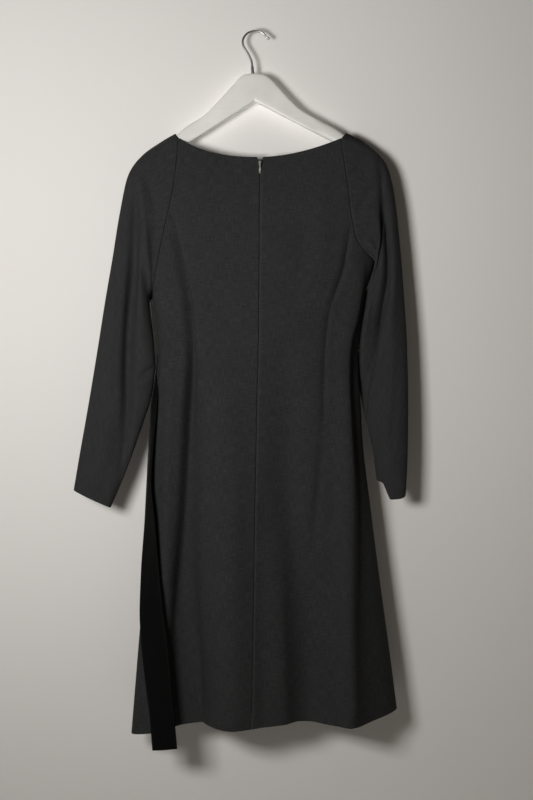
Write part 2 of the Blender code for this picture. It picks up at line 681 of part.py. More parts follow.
def main():
    clear_scene()
    cloth = material("wool", (0.028, 0.029, 0.031), 0.9)
    velvet = material("velvet", (0.004, 0.006, 0.005), 0.95)
    tape = material("zip tape", (0.02, 0.02, 0.022), 0.8)
    metal = material("zip metal", (0.75, 0.73, 0.70), 0.3, 1.0)
    wood = material("white painted wood", (0.82, 0.81, 0.78), 0.4)
    chrome = material("chrome wire", (0.8, 0.8, 0.8), 0.15, 1.0)
    levels, back, back_normal = build_cloth(cloth)
    build_zip(levels, back, back_normal, tape, metal)
    build_sash(velvet)
    build_hanger(wood, chrome)


main()
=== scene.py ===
"""Long-sleeve wool dress on a white wooden hanger, seen from its back against a pale wall.

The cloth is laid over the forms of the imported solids: the same edge, section and sleeve tables
give the plain surface, and the creases below are added to it.
Tables are in millimetres, +Z up, +X to the wearer's right, the dress's back faces -Y.
Finished meshes are in metres.
"""

import math

import bpy
import numpy as np
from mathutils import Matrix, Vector


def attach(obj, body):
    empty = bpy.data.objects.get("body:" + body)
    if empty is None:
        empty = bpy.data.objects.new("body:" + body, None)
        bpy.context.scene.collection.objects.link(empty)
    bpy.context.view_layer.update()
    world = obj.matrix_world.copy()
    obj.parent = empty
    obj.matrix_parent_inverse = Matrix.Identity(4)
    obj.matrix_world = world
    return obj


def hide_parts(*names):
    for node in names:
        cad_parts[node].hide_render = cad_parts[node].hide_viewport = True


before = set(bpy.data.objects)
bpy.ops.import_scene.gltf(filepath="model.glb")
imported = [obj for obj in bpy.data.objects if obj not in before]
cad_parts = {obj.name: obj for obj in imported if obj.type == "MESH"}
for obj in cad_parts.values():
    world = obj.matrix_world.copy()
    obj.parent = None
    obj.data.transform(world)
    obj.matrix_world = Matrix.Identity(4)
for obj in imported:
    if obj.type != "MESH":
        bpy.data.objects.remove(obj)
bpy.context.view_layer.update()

MM = 0.001
CLOTH_MAP = "cloth"
PATH_STEPS = 6
DENSE_STEPS = 600

# ---- cloth ----
CLOTH_WALL = 1.5
SEAM_GAP = 0.30
SEAM_ROLL = 2.4
SEAM_ROLL_DEPTH = 1.15
EDGE_ROUND = 1.4
EDGE_THIN = 0.35
ROW_SPACING = 3.6
BACK_COLUMNS = 60

# Levels and rings as in the tables below, with a few more beside the edges.
UNDERARM_LEVEL = 6.0
HEM_LEVEL = 15.0
HEM_LIFT_LEVELS = (12.5, 15.0)
NEAR_HEM = (14.965, 14.985)
NEAR_ARMHOLE = (0.02, 0.045, 0.08)
NEAR_CUFF = (9.97, 9.985)
NEAR_SEAM_SHARES = (0.004, 0.008, 0.013)

NECK_DROP = 34.8
NECK_POWERS = (2.6, 1.85)
NOTCH_WIDTH = 11.0
NOTCH_LEVEL = 0.4
NOTCH_REACH = 16.0
FOLDS_END = -1265.0
FOLD_REACH = 0.9

# Creases stay off the seams: columns at a side seam, length below an armhole.
SEAM_HOLD = 5.0
ARMHOLE_HOLD = 22.0

# Stitches and painted light: half width of a dart's line, darkened as painted shade, then places,
# width and strength of the painted highlights beside the back's middle seam and the right armhole
# seam.
STITCH_REACH = 2.2
HIGHLIGHT_PLACE = 2.4
SLEEVE_HIGHLIGHT_PLACE = 2.2
HIGHLIGHT_WIDTH = 1.3
# strength of the painted highlight along the right sleeve's armhole seam
RIGHT_SLEEVE_PAINTED_HIGHLIGHT = 0.45
HEM_TURN = 38.0
CUFF_TURN = 30.0
TURN_WIDTH = 1.6
WOOL_THREADS = 1250.0
TAPE_THREADS = 1600.0

# Edges of the dress's body, a row per level from neck to hem.
# level, left x, left y, left z, right x, right y, right z
EDGE_ROWS = (
    (0, -140, 0, -196, 157, 0, -196),
    (1, -142, 0, -232, 161, 0, -232),
    (2, -149, 0, -290, 168, 0, -282),
    (3, -163, 0, -357, 174, 0, -334),
    (4, -178, 0, -430, 184, 0, -381),
    (5, -184.5, 0, -466, 201, 0, -405),
    (6, -187, 0, -486, 218, 0, -420),
    (7, -180, 0, -520, 205, 3, -470),
    (8, -176.5, 0, -552, 198.5, 9, -518),
    (9, -175.5, 0, -608, 189.5, 12, -588),
    (10, -180, 1, -673, 193, 8, -669),
    (11, -188, 1, -763, 198, 7, -759),
    (12, -195, 1, -868, 210, 12, -855),
    (13, -204.5, 1, -1014, 229, 19, -1000),
    (14, -217, 1, -1171, 250, 25, -1150),
    (15, -226, 1, -1282, 262, 28, -1242),
)

# level, armhole, back, front, square, centre x, neck dip
SECTION_ROWS = (
    (0, 11, 14, 14, 3, 9, 1.00),
    (1, 18, 20, 20, 3, 9, 0.84),
    (2, 24, 26.5, 27, 3.2, 8.5, 0.56),
    (3, 27, 30, 32, 3.4, 8, 0.24),
    (4, 25, 32, 37, 3.2, 8, 0.05),
    (5, 17, 32.5, 39.5, 3.6, 7.5, 0.00),
    (6, 0, 33, 41, 5.2, 7.5, 0.00),
    (7, 0, 33, 42, 4.4, 7, 0.00),
    (8, 0, 33, 42, 3.6, 7, 0.00),
    (9, 0, 34, 42, 2.9, 6, 0.00),
    (10, 0, 38, 44, 2.5, 4, 0.00),
    (11, 0, 43, 48, 2.5, 2.5, 0.00),
    (12, 0, 47, 52, 2.5, 0.5, 0.00),
    (13, 0, 52, 57, 2.5, -1.5, 0.00),
    (14, 0, 56, 62, 2.5, -4, 0.00),
    (15, 0, 58, 64, 2.5, -6, 0.00),
)

# Soft folds of the skirt: start x, start z, hem x, half width, stand-out at the hem
BACK_FOLDS = (
    (-122, -640, -138, 25, -14),
    (-64, -760, -36, 42, 11),
    (124, -640, 92, 33, -18),
    (158, -600, 177, 25, 24),
)
FRONT_FOLDS = (
    (-140, -640, -165, 30, 14),
    (-70, -680, -88, 34, -17),
    (-10, -760, -14, 40, 12),
    (64, -660, 76, 36, -18),
    (140, -640, 168, 32, 15),
)

# share from left to right, lift of the back's hem
BACK_HEM_LIFT = (
    (0.00, 0),
    (0.11, 6),
    (0.23, 16),
    (0.40, 5),
    (0.60, 5),
    (0.75, -4),
    (0.84, -8),
    (1.00, 0),
)

# Darts of the back, from the armhole to below the waist, as x and z on the cloth.
LEFT_DART = (
    (-158, -326),
    (-152, -342),
    (-144, -362),
    (-133, -411),
    (-123, -460),
    (-117, -510),
    (-114.5, -560),
    (-115, -620),
    (-119, -700),
)
RIGHT_DART = (
    (172, -346),
    (170, -365),
    (165, -402),
    (158, -440),
    (145, -478),
    (133, -515),
    (127.5, -560),
    (125, -621),
    (124.5, -712),
)

# Creases: each has its points as x, z, stand-out, then a half width on its left and
# one on its right. A trough has a negative stand-out.
BACK_CREASES = (
    # the cloth falls to the left dart on both sides, longer on the outer one
    (((-156, -330, 0), (-144, -362, -3), (-133, -411, -7), (-123, -460, -9),
      (-117, -510, -12), (-113, -560, -13), (-112, -620, -10), (-115, -690, -6),
      (-119, -760, 0)), 11, 4.5),
    # its trough in the skirt
    (((-114, -560, 0), (-118, -640, -13), (-122, -700, -21), (-124, -760, -24),
      (-128, -850, -23), (-136, -960, -19), (-143, -1060, -13), (-147, -1150, -6),
      (-149, -1230, 0)), 7.6, 26),
    # where that trough opens out towards the hem
    (((-130, -860, 0), (-126, -960, -10), (-120, -1060, -20), (-113, -1160, -29),
      (-109, -1290, -32)), 27, 26),
    # light ridge between the left side seam and the trough
    (((-150, -480, 0), (-152, -600, 3.5), (-154, -740, 6), (-157, -860, 6),
      (-160, -1000, 4)), 12, 10),
    # right dart: a steep dark line at its top, then a fine light one
    (((172, -350, 0), (167, -402, -4.4), (161, -438, -6), (147, -478, -4.6),
      (134, -515, -2.8), (128, -574, -2.6), (126, -640, -3.4), (126, -709, -3.4)), 6.5, 4.5),
    # ridge from the right armhole down the side, steep on its outer side
    (((193, -405, 0), (192, -450, 5), (186, -490, 8), (179, -527, 9),
      (169, -563, 10), (165, -610, 11), (165, -660, 12), (168, -740, 13),
      (172, -830, 13), (172, -930, 12), (172, -1080, 9), (175, -1240, 6)), 20, 8),
    # broad rise on the left of the middle
    (((-56, -560, 0), (-52, -680, 5), (-46, -800, 9), (-42, -960, 11), (-40, -1100, 9),
      (-38, -1240, 7)), 34, 30),
    # broad hollow on the right of the middle
    (((64, -560, 0), (58, -680, -8), (60, -800, -15), (70, -940, -17),
      (84, -1080, -14), (100, -1260, -9)), 38, 30),
    # short trough that carries on from the right dart
    (((124, -690, 0), (118, -798, -3), (111, -880, -3.5), (106, -960, 0)), 8, 7),
    # soft lines of the skirt
    (((20, -760, 0), (16, -900, -1.6), (14, -1080, -2.4), (18, -1250, -2)), 12, 15),
    (((-92, -800, 0), (-96, -960, 1.4), (-98, -1120, 2), (-96, -1260, 1.5)), 10, 12),
    (((52, -880, 0), (50, -1000, 1.6), (52, -1150, 2.4), (58, -1260, 2)), 12, 10),
    # shoulder blades' soft drag lines
    (((-112, -250, 0), (-86, -330, 1), (-70, -430, 0)), 22, 18),
    (((132, -250, 0), (120, -320, 1.6), (122, -400, 1.8), (116, -480, 0)), 14, 16),
    (((92, -300, 0), (86, -370, -2.4), (82, -450, -2.2), (74, -540, 0)), 24, 15),
    (((-36, -420, 0), (-24, -500, 1), (-30, -590, 0)), 16, 18),
    # waist's shallow hollows
    (((-60, -560, 0), (-52, -610, -1.2), (-58, -670, 0)), 26, 22),
    (((62, -540, 0), (56, -600, -1.8), (60, -680, 0)), 24, 20),
)

FRONT_CREASES = (
    (((-148, -380, 0), (-128, -450, -3), (-110, -540, -3.6), (-104, -640, -3.2),
      (-110, -760, 0)), 8, 16),
    (((160, -380, 0), (140, -450, -3), (122, -540, -3.4), (117, -640, -3),
      (122, -760, 0)), 16, 8),
    (((-150, -620, 0), (-156, -760, 4), (-162, -930, 4), (-170, -1150, 2)), 13, 12),
    (((152, -600, 0), (158, -740, 4.5), (166, -900, 4), (178, -1120, 2)), 12, 14),
    (((-44, -720, 0), (-50, -880, -3), (-54, -1060, -4), (-58, -1240, -3)), 18, 22),
    (((40, -740, 0), (46, -900, -2.6), (40, -1080, -3.6), (32, -1230, -3)), 22, 18),
    (((6, -800, 0), (2, -960, 2), (-4, -1200, 3)), 20, 24),
    (((-96, -240, 0), (-74, -310, 1.2), (-50, -390, 0)), 20, 16),
    (((108, -240, 0), (88, -310, 1.2), (62, -390, 0)), 16, 20),
    (((-30, -590, 0), (-20, -640, -1.4), (-26, -700, 0)), 26, 24),
)

# ---- sleeves ----
# ring, outer x, outer y, outer z, inner x, inner y, inner z, back depth, front depth
LEFT_SLEEVE_ROWS = (
    (0, -145, 0, -186, -187, 0, -486, 27, 27),
    (1, -172, 0, -200.5, -190.5, 0, -489.5, 27, 27),
    (2, -205, 0, -223.5, -192, -1, -498, 28, 28),
    (3, -231.5, 0, -263, -190.5, -3, -514, 28, 27),
    (4, -246, -2, -330, -187, -8, -540, 26, 26),
    (5, -259, -4, -412, -183.5, -13, -575, 24, 24),
    (6, -272.5, -6, -492, -182, -15, -612, 23, 23),
    (7, -287.5, -6, -587, -188, -14, -662, 22, 21),
    (8, -303.5, -4, -682, -205, -12, -717, 20, 20),
    (9, -320, -2, -774, -237, -9, -806, 18, 18),
    (10, -331, 0, -838, -264, -6, -869, 17, 17),
)
RIGHT_SLEEVE_ROWS = (
    (0, 166, 0, -184.5, 218, 0, -420, 27, 27),
    (1, 195, 0, -197.5, 222.5, 0, -423, 27, 27),
    (2, 222.5, 0, -218.5, 223, 1, -432, 28, 28),
    (3, 241.5, 0, -247, 219.5, 2, -448, 28, 28),
    (4, 254.5, 0, -300, 204.5, 9.5, -476, 27, 26),
    (5, 263.5, 0, -380, 199.5, 14, -510, 26, 25),
    (6, 271, 0, -470, 192, 17, -563, 25, 24),
    (7, 277.5, 0, -580, 190, 17.5, -620, 24, 23),
    (8, 279.5, 0, -680, 202.5, 14, -706, 22, 21),
    (9, 278.5, 0, -770, 215.5, 12, -764, 19, 19),
    (10, 275, 0, -845, 224, 14, -820, 16, 16),
)
# side, first ring, place there, last ring, place there, half width, stand-out
LEFT_SLEEVE_BENDS = (
    (1, 1.8, 0.34, 10.6, 0.68, 0.10, -4),
    (1, 1.2, 0.50, 6, 0.68, 0.10, 3),
    (-1, 2.5, 0.36, 10.4, 0.58, 0.09, -9),
    (-1, 1.5, 0.60, 6.5, 0.72, 0.09, 6),
)
RIGHT_SLEEVE_BENDS = (
    (1, 1, 0.34, 7.4, 0.80, 0.10, -4),
    (1, 3.5, 0.30, 9.5, 0.42, 0.11, 3),
    (-1, 2, 0.34, 8.8, 0.62, 0.09, -9),
    (-1, 4, 0.66, 9.6, 0.60, 0.10, 5),
)
RIGHT_CUFF_DROP = 24.0
CUFF_DROP_PLACE = 0.54
CUFF_DROP_END = 0.70
CUFF_DROP_RINGS = (8.6, 10.0)
OVAL_SWELL = 0.8
BEND_SWELL = 0.6

# Rings over which a sleeve settles from the seam's points to its own, and grows smooth.
SETTLE_RINGS = 4.0
REST_RINGS = 3.0
SMOOTH_RINGS = 3.5

LEFT_SLEEVE_CREASES = (
    # long crease, a steep fold on its outer side; wide and soft above, fading below
    (((-219, -290, 0), (-217, -340, -5), (-220, -400, -10), (-224, -455, -14),
      (-232, -564, -15), (-234, -673, -13), (-238, -745, -6), (-246, -820, 0)), 6.4, 12),
    (((-220, -290, 0), (-222, -340, -4), (-228, -400, 0)), 10, 9),
    (((-232, -690, 0), (-234, -760, -4), (-246, -830, -1)), 14, 10),
    # light ridge from the cap to the underarm
    (((-214, -262, 0), (-205, -294, 4), (-200, -348, 5), (-194, -420, 4.5),
      (-187, -474, 2)), 7, 6),
    # short trough at its inner side
    (((-200, -272, 0), (-188, -300, -4), (-178, -335, 0)), 5, 7),
    # pucker at the bend of the arm
    (((-208, -634, 0), (-198, -625, -4), (-184, -616, -3)), 3.5, 5.5),
    (((-214, -650, 0), (-200, -642, 2.5), (-186, -632, 1.5)), 6, 6),
    # broad soft hollow of the lower arm
    (((-244, -700, 0), (-250, -770, -3), (-258, -830, -1)), 12, 14),
    # outer fullness
    (((-236, -300, 0), (-246, -400, 2.5), (-256, -520, 3), (-268, -650, 2)), 9, 8),
)
RIGHT_SLEEVE_CREASES = (
    # long fold from the shoulder, steep on its inner side
    (((224, -225, 0), (229, -262, -4), (232, -310, -9), (236, -366, -14),
      (240, -415, -13), (239, -456, -12), (232, -492, -13), (223, -530, -13),
      (218, -560, -5), (214, -600, 0)), 5.4, 10),
    # where it widens, below the bend of the arm
    (((228, -500, 0), (223, -530, -6), (219, -563, -14), (213, -600, -15),
      (206, -636, -11), (201, -673, -7), (200, -720, -2)), 13, 5),
    # ridge at its inner side that crosses towards the body below
    (((230, -400, 0), (226, -456, 4), (213, -492, 6), (206, -527, 7),
      (200, -560, 3), (197, -590, 0)), 6, 8),
    # outer ridge
    (((246, -330, 0), (248, -400, 3), (248, -470, 3), (244, -560, 2)), 5, 8),
    # cap troughs
    (((212, -214, 0), (194, -240, -3.2), (172, -268, -1)), 6, 9),
    (((216, -290, 0), (198, -312, -4.2), (180, -334, -1.5)), 5, 8),
    (((222, -350, 0), (206, -362, -2.4), (190, -372, -1)), 5, 6),
    # puckers at the underarm
    (((184, -386, 0), (198, -402, -4), (216, -414, -4)), 3.4, 4),
    (((196, -376, 0), (212, -394, 3), (224, -408, 1.5)), 5, 5),
    # soft lines of the forearm
    (((258, -560, 0), (256, -660, -2.4), (250, -760, -1)), 7, 9),
    (((232, -640, 0), (238, -720, 2), (246, -790, 1)), 8, 8),
)
SLEEVE_FRONT_CREASES = (
    (((-226, -290, 0), (-233, -390, -5), (-242, -520, -6), (-246, -660, -5),
      (-252, -780, 0)), 8, 7),
    (((-205, -260, 0), (-198, -340, 3.5), (-192, -440, 0)), 8, 7),
    (((-212, -640, 0), (-200, -628, -3), (-188, -620, 0)), 5, 5),
    (((232, -240, 0), (236, -330, -5), (240, -450, -6.5), (236, -580, -5),
      (240, -700, 0)), 7, 8),
    (((214, -470, 0), (222, -560, 4), (230, -660, 3), (240, -760, 0)), 8, 8),
    (((206, -230, 0), (194, -300, 3), (190, -370, 0)), 8, 8),
)

# ---- velvet sash ----
SASH_WALL = 1.4
# z, outer edge x, outer edge y, inner edge x, inner edge y
SASH_ROWS = (
    (-590, -178.6, 9, -177.35, -1.5),
    (-625, -184, 24, -179.6, -5),
    (-669, -191.5, 26, -177, -13.5),
    (-746, -196.3, 24, -182.8, -23),
    (-819, -199.5, 16, -187, -31),
    (-889, -202, 4, -180, -41),
    (-983, -208, -6, -171.5, -43.5),
    (-1050, -209.5, -17, -164.5, -46.5),
    (-1105, -206.5, -28, -156.5, -50),
    (-1177, -198, -36, -149.5, -54.5),
    (-1246, -188.8, -41, -143, -59),
    (-1303, -184, -42, -138, -60),
)
SASH_HEM_SLANT = 8.0
SASH_RINGS = 220
SASH_BOW = 1.6
SASH_WAVE = 0.8
SASH_RIPPLE = 0.7
SASH_EDGE_ROUND = 1.6
SASH_PRESS_PLACE = 3.0
SASH_PRESS_WIDTH = 0.9

# ---- zip ----
# Distances of the tapes' columns from the seam, then thickness, edges and gap to the wool.
ZIP_TAPE_COLUMNS = (2.2, 2.6, 6.0, 9.0, 12.4, 13.0)
ZIP_TAPE_WALL = 0.9
ZIP_TAPE_EDGE = 0.35
ZIP_SEAT = 0.35
ZIP_LAST_LEVEL = 11.2
COIL_PITCH = 1.4
COIL_STEPS = 8
COIL_HALF_WIDTH = 2.0
COIL_HALF_DEPTH = 0.42
COIL_LIFT = 0.55
COIL_WIRE = 0.35

# ---- hanger ----
# x, top z, bottom z, half thickness
HANGER_ROWS = (
    (-203, -228.5, -237, 3.6),
    (-199, -223.4, -240, 5),
    (-172, -204, -229, 5.8),
    (-146, -190.8, -217, 5.6),
    (-128, -174.5, -206.5, 6),
    (-94, -153.5, -186, 6),
    (-66, -125.5, -168, 6.2),
    (-38, -95, -150.5, 6.5),
    (-26, -82, -143, 6.8),
    (-16, -77.5, -136.6, 7),
    (-5, -76.6, -129.8, 7),
    (-1.3, -76.5, -127.2, 7),
    (2.5, -76.6, -129.3, 7),
    (14, -78, -135.2, 7),
    (26, -84, -141, 6.8),
    (40, -98, -148.5, 6.5),
    (64, -124.5, -161, 6.2),
    (86, -144.5, -172.5, 6),
    (116, -160.5, -188, 6),
    (146, -176.5, -203.5, 6),
    (167, -190.4, -214.5, 5.6),
    (206, -208.2, -229, 5),
    (210.5, -214, -226, 3.6),
)
HANGER_SIDES = 40
HANGER_RINGS = 290
HANGER_END = 2.4
CAP_TURNS = (0.35, 0.7, 1.05, 1.35)

# Power of the sections at the middle and in the sleeves, and where it changes, from x = 0.
FLAT_POWER = 0.34
OVAL_POWER = 0.9
OVAL_REACH = (96.0, 130.0)

HOOK_WIRE = 2.0
HOOK_ROWS = (
    (-3.8, -78.5),
    (-5, -64),
    (-6.6, -52.5),
    (-13, -38.5),
    (-20.5, -26.5),
    (-22.6, -16.5),
    (-19, -7.2),
    (-12, -0.8),
    (-1.5, 2),
    (9, 1),
    (16.5, -3.6),
    (21, -9),
    (27, -12.6),
)
HOOK_SIDES = 20
HOOK_RINGS = 240
FERRULE_RADIUS = 2.9
FERRULE_LENGTH = 15.0
FERRULE_GROOVE = 0.25
HOOK_BEAD = 0.55

# ---- wall, floor, lights, camera ----
# Metres. The wall has its distance at the hook's height and a lean from there.
WALL_AT_HOOK = 0.0236
WALL_LEAN = 0.045
WALL_TOP = 1.4
WALL_HALF_WIDTH = 2.6
FLOOR = -1.95
FLOOR_HALF_WIDTH = 4.0

# name, place, target, width, power, colour
LIGHTS = (
    ("window", (-0.64, -1.40, -0.52), (0.06, 0.078, 0.20), 0.42, 21.5, (1.0, 0.985, 0.96)),
    ("front_side", (-0.4, 2.5, 0.1), (0.0, 0.0, -0.6), 1.6, 60.0, (1.0, 0.99, 0.97)),
)
AIR_COLOUR = (1.0, 0.85, 0.66, 1.0)
AIR_STRENGTH = 0.055
CAMERA_PLACE = (0.021, -2.300, -0.673)
FOCAL_PIXELS = 1256.8
PICTURE_HEIGHT = 800.0
SENSOR = 36.0


# ---- numbers ----
def through_rows(rows, at):
    """Values between the rows of a table, on a cubic that never overshoots a row."""
    rows = np.asarray(rows, float)
    at = np.asarray(at, float)
    known = rows[:, 0]
    values = rows[:, 1:]
    step = np.diff(known)[:, None]
    slope = np.diff(values, axis=0) / step
    both = slope[:-1] * slope[1:]
    total = slope[:-1] + slope[1:]
    safe = np.where(np.abs(total) > 1e-12, total, 1.0)
    middle = np.where(both > 0, 2 * both / safe, 0.0)
    ends = np.vstack([slope[:1], middle, slope[-1:]])
    place = np.clip(np.searchsorted(known, at, side="right") - 1, 0, len(known) - 2)
    share = ((at - known[place]) / step[place, 0])[:, None]
    wide = step[place]
    return (
        values[place] * (1 + 2 * share) * (1 - share) ** 2
        + ends[place] * wide * share * (1 - share) ** 2
        + values[place + 1] * share**2 * (3 - 2 * share)
        + ends[place + 1] * wide * share**2 * (share - 1)
    )


def ease(share):
    """Smooth step from 0 to 1: three squares less two cubes of the share."""
    share = np.clip(share, 0.0, 1.0)
    return share * share * (3 - 2 * share)


def bell(distance, width):
    """exp(-(distance / width) squared)."""
    return np.exp(-((distance / width) ** 2))


def round_share(distance, reach):
    """A quarter circle from 0 at an edge to 1 at the reach."""
    part = np.clip(distance / reach, 0.0, 1.0)
    return np.sqrt(np.maximum(1 - (1 - part) ** 2, 0.0))


def unit(vectors):
    return vectors / np.maximum(np.linalg.norm(vectors, axis=-1, keepdims=True), 1e-12)


def grid_normals(grid, wrap):
    """Normals of a grid of points: column direction crossed with row direction."""
    down = np.gradient(grid, axis=0)
    if wrap:
        along = np.roll(grid, -1, axis=1) - np.roll(grid, 1, axis=1)
    else:
        along = np.gradient(grid, axis=1)
    return unit(np.cross(along, down))


def travelled(grid, axis):
    """Length along a grid's rows or columns from its first one, in the grid's own unit."""
    steps = np.linalg.norm(np.diff(grid, axis=axis), axis=-1)
    shape = list(grid.shape[:2])
    shape[axis] = 1
    return np.concatenate([np.zeros(shape), np.cumsum(steps, axis=axis)], axis=axis)


def evenly(length, dense):
    """The dense places picked out at even lengths, ROW_SPACING or a little less apart."""
    count = int(math.ceil(length[-1] / ROW_SPACING))
    return np.interp(np.linspace(0.0, length[-1], count + 1), length, dense)


def along_path(x, z, path):
    """For each point, how far it lies from a path in x and z, and the path's own length there.

    Each leg gives the distance to its nearest point; the smallest one counts. The distance is
    positive to the right of a path that runs down.
    """
    best = np.full(x.shape, 1e9)
    signed = np.zeros(x.shape)
    place = np.zeros(x.shape)
    for k in range(len(path) - 1):
        leg = path[k + 1, :2] - path[k, :2]
        share = ((x - path[k, 0]) * leg[0] + (z - path[k, 1]) * leg[1]) / np.hypot(*leg) ** 2
        share = np.clip(share, 0.0, 1.0)
        off_x = x - path[k, 0] - leg[0] * share
        off_z = z - path[k, 1] - leg[1] * share
        far = np.hypot(off_x, off_z)
        nearer = far < best
        side = np.sign(leg[0] * off_z - leg[1] * off_x)
        best = np.where(nearer, far, best)
        signed = np.where(nearer, far * np.where(side == 0, 1, side), signed)
        place = np.where(nearer, k + share, place)
    return signed, place


def smooth_path(rows, order):
    """A round curve through the rows of a table, each end leaving along its first leg."""
    rows = np.asarray(rows, float)
    ends = np.vstack([2 * rows[0] - rows[1], rows, 2 * rows[-1] - rows[-2]])
    place = np.clip(np.floor(order).astype(int), 0, len(rows) - 2)
    share = (order - place)[:, None]
    a, b, c, d = (ends[place + k] for k in range(4))
    return 0.5 * (
        2 * b
        + (c - a) * share
        + (2 * a - 5 * b + 4 * c - d) * share**2
        + (3 * b - a - 3 * c + d) * share**3
    )


def round_path(path):
    """More points on a path, each leg bending smoothly into the next."""
    count = (len(path) - 1) * PATH_STEPS + 1
    return smooth_path(path, np.linspace(0, len(path) - 1.0, count))


def crease_heights(x, z, creases):
    """Stand-out of the cloth at x and z: each crease is a bell across its path.

    Its height is the stand-out that the path has there, its half width that of its side.
    """
    total = np.zeros(x.shape)
    for points, left, right in creases:
        path = round_path(points)
        off, place = along_path(x, z, path)
        height = np.interp(place, np.arange(len(path)), path[:, 2])
        total = total + height * bell(off, np.where(off < 0, left, right))
    return total


# ---- meshes ----
def finish_mesh(name, points, quads, look, uv=None, values=None, ends=(), period=None):
    """One smooth mesh in metres with its own map in metres and named values at its points.

    A face that spans most of a wrapped map's period has its low side moved one period on.
    """
    corners = points[quads]
    volume = np.einsum(
        "ij,ij->i",
        corners[:, 0],
        np.cross(corners[:, 1], corners[:, 2]) + np.cross(corners[:, 2], corners[:, 3]),
    ).sum()
    if volume < 0:
        quads = quads[:, ::-1]
        ends = [tuple(reversed(face)) for face in ends]
    faces = [tuple(q) for q in quads.tolist()] + list(ends)
    mesh = bpy.data.meshes.new(name)
    mesh.from_pydata((points * MM).tolist(), [], faces)
    mesh.update()
    mesh.shade_smooth()
    if uv is not None:
        loops = np.empty(len(mesh.loops), np.int32)
        mesh.loops.foreach_get("vertex_index", loops)
        layer = mesh.uv_layers.new(name=CLOTH_MAP)
        placed = uv[loops]
        if period is not None:
            across = placed[:, 0].reshape(-1, 4)
            wide = np.ptp(across, axis=1, keepdims=True) > period / 2
            placed[:, 0] = np.where(wide & (across < period / 2), across + period, across).ravel()
        layer.data.foreach_set("uv", np.ascontiguousarray(placed * MM, np.float32).ravel())
    for key, numbers in (values or {}).items():
        made = mesh.attributes.new(key, "FLOAT", "POINT")
        made.data.foreach_set("value", np.ascontiguousarray(numbers, np.float32).ravel())
    mesh.materials.append(look)
    made = bpy.data.objects.new(name, mesh)
    bpy.context.scene.collection.objects.link(made)
    return made


def wall_mesh(name, outer, inner, look, uv, values, period=None):
    """A closed wall between two grids of points of the same size; a period wraps its rows."""
    rows, columns = outer.shape[:2]
    index = np.arange(rows * columns).reshape(rows, columns)
    if period is not None:
        index = np.concatenate([index, index[:, :1]], axis=1)
    half = rows * columns
    a, b, c, d = index[:-1, :-1], index[:-1, 1:], index[1:, 1:], index[1:, :-1]
    quads = [
        np.stack([a, b, c, d], axis=-1).reshape(-1, 4),
        np.stack([d, c, b, a], axis=-1).reshape(-1, 4) + half,
    ]
    rims = [(index[0, 1:], index[0, :-1]), (index[-1, :-1], index[-1, 1:])]
    if period is None:
        rims += [(index[:-1, 0], index[1:, 0]), (index[1:, -1], index[:-1, -1])]
    for start, end in rims:
        quads.append(np.stack([start, end, end + half, start + half], -1))
    points = np.concatenate([outer.reshape(-1, 3), inner.reshape(-1, 3)])
    uv = np.concatenate([uv.reshape(-1, 2)] * 2)
    values = {key: np.concatenate([v.reshape(-1)] * 2) for key, v in values.items()}
    return finish_mesh(name, points, np.concatenate(quads), look, uv, values, (), period)


def tube_mesh(name, rings, look):
    """A skin through closed rings of points, with a face at each end."""
    count, around = rings.shape[:2]
    index = np.arange(count * around).reshape(count, around)
    turned = np.roll(index, -1, axis=1)
    quads = np.stack([index[:-1], turned[:-1], turned[1:], index[1:]], -1).reshape(-1, 4)
    ends = [tuple(reversed(index[0].tolist())), tuple(index[-1].tolist())]
    return finish_mesh(name, rings.reshape(-1, 3), quads, look, ends=ends)


# ---- materials ----
def new_material(name, shown, **sockets):
    """A material with constant values on its shader's sockets; "_" stands for a space."""
    made = bpy.data.materials.new(name)
    made.use_nodes = True
    made.diffuse_color = (*shown, 1.0)
    shader = made.node_tree.nodes["Principled BSDF"]
    for key, value in sockets.items():
        shader.inputs[key.replace("_", " ")].default_value = value
    return made, made.node_tree, shader


def finish_material(tree, shader, colour, rough, height=None, strength=0.0, distance=0.0):
    """Wires the colour, the roughness and a bump of a height to the shader."""
    tree.links.new(colour, shader.inputs["Base Color"])
    tree.links.new(rough, shader.inputs["Roughness"])
    if height is not None:
        bump = tree.nodes.new("ShaderNodeBump")
        tree.links.new(height, bump.inputs["Height"])
        bump.inputs["Strength"].default_value = strength
        bump.inputs["Distance"].default_value = distance
        tree.links.new(bump.outputs["Normal"], shader.inputs["Normal"])


def math_node(tree, operation, first, second=0.0):
    """One Math node; each input is a number or another node's output."""
    made = tree.nodes.new("ShaderNodeMath")
    made.operation = operation
    for socket, value in zip(made.inputs, (first, second)):
        if hasattr(value, "is_output"):
            tree.links.new(value, socket)
        else:
            socket.default_value = value
    return made.outputs[0]


def mixed(tree, *parts):
    """The sum of outputs, each times its own weight."""
    total = None
    for value, weight in parts:
        part = math_node(tree, "MULTIPLY", value, weight)
        total = part if total is None else math_node(tree, "ADD", total, part)
    return total


def map_range(tree, value, low, high, to_low, to_high):
    made = tree.nodes.new("ShaderNodeMapRange")
    tree.links.new(value, made.inputs["Value"])
    numbers = {"From Min": low, "From Max": high, "To Min": to_low, "To Max": to_high}
    for key, number in numbers.items():
        made.inputs[key].default_value = number
    return made.outputs["Result"]


def scaled(tree, vector, x, y, z):
    made = tree.nodes.new("ShaderNodeMapping")
    tree.links.new(vector, made.inputs["Vector"])
    made.inputs["Scale"].default_value = (x, y, z)
    return made.outputs["Vector"]


def noise(tree, vector, scale, detail=2.0, roughness=0.5):
    made = tree.nodes.new("ShaderNodeTexNoise")
    tree.links.new(vector, made.inputs["Vector"])
    made.inputs["Scale"].default_value = scale
    made.inputs["Detail"].default_value = detail
    made.inputs["Roughness"].default_value = roughness
    return made.outputs["Fac"]


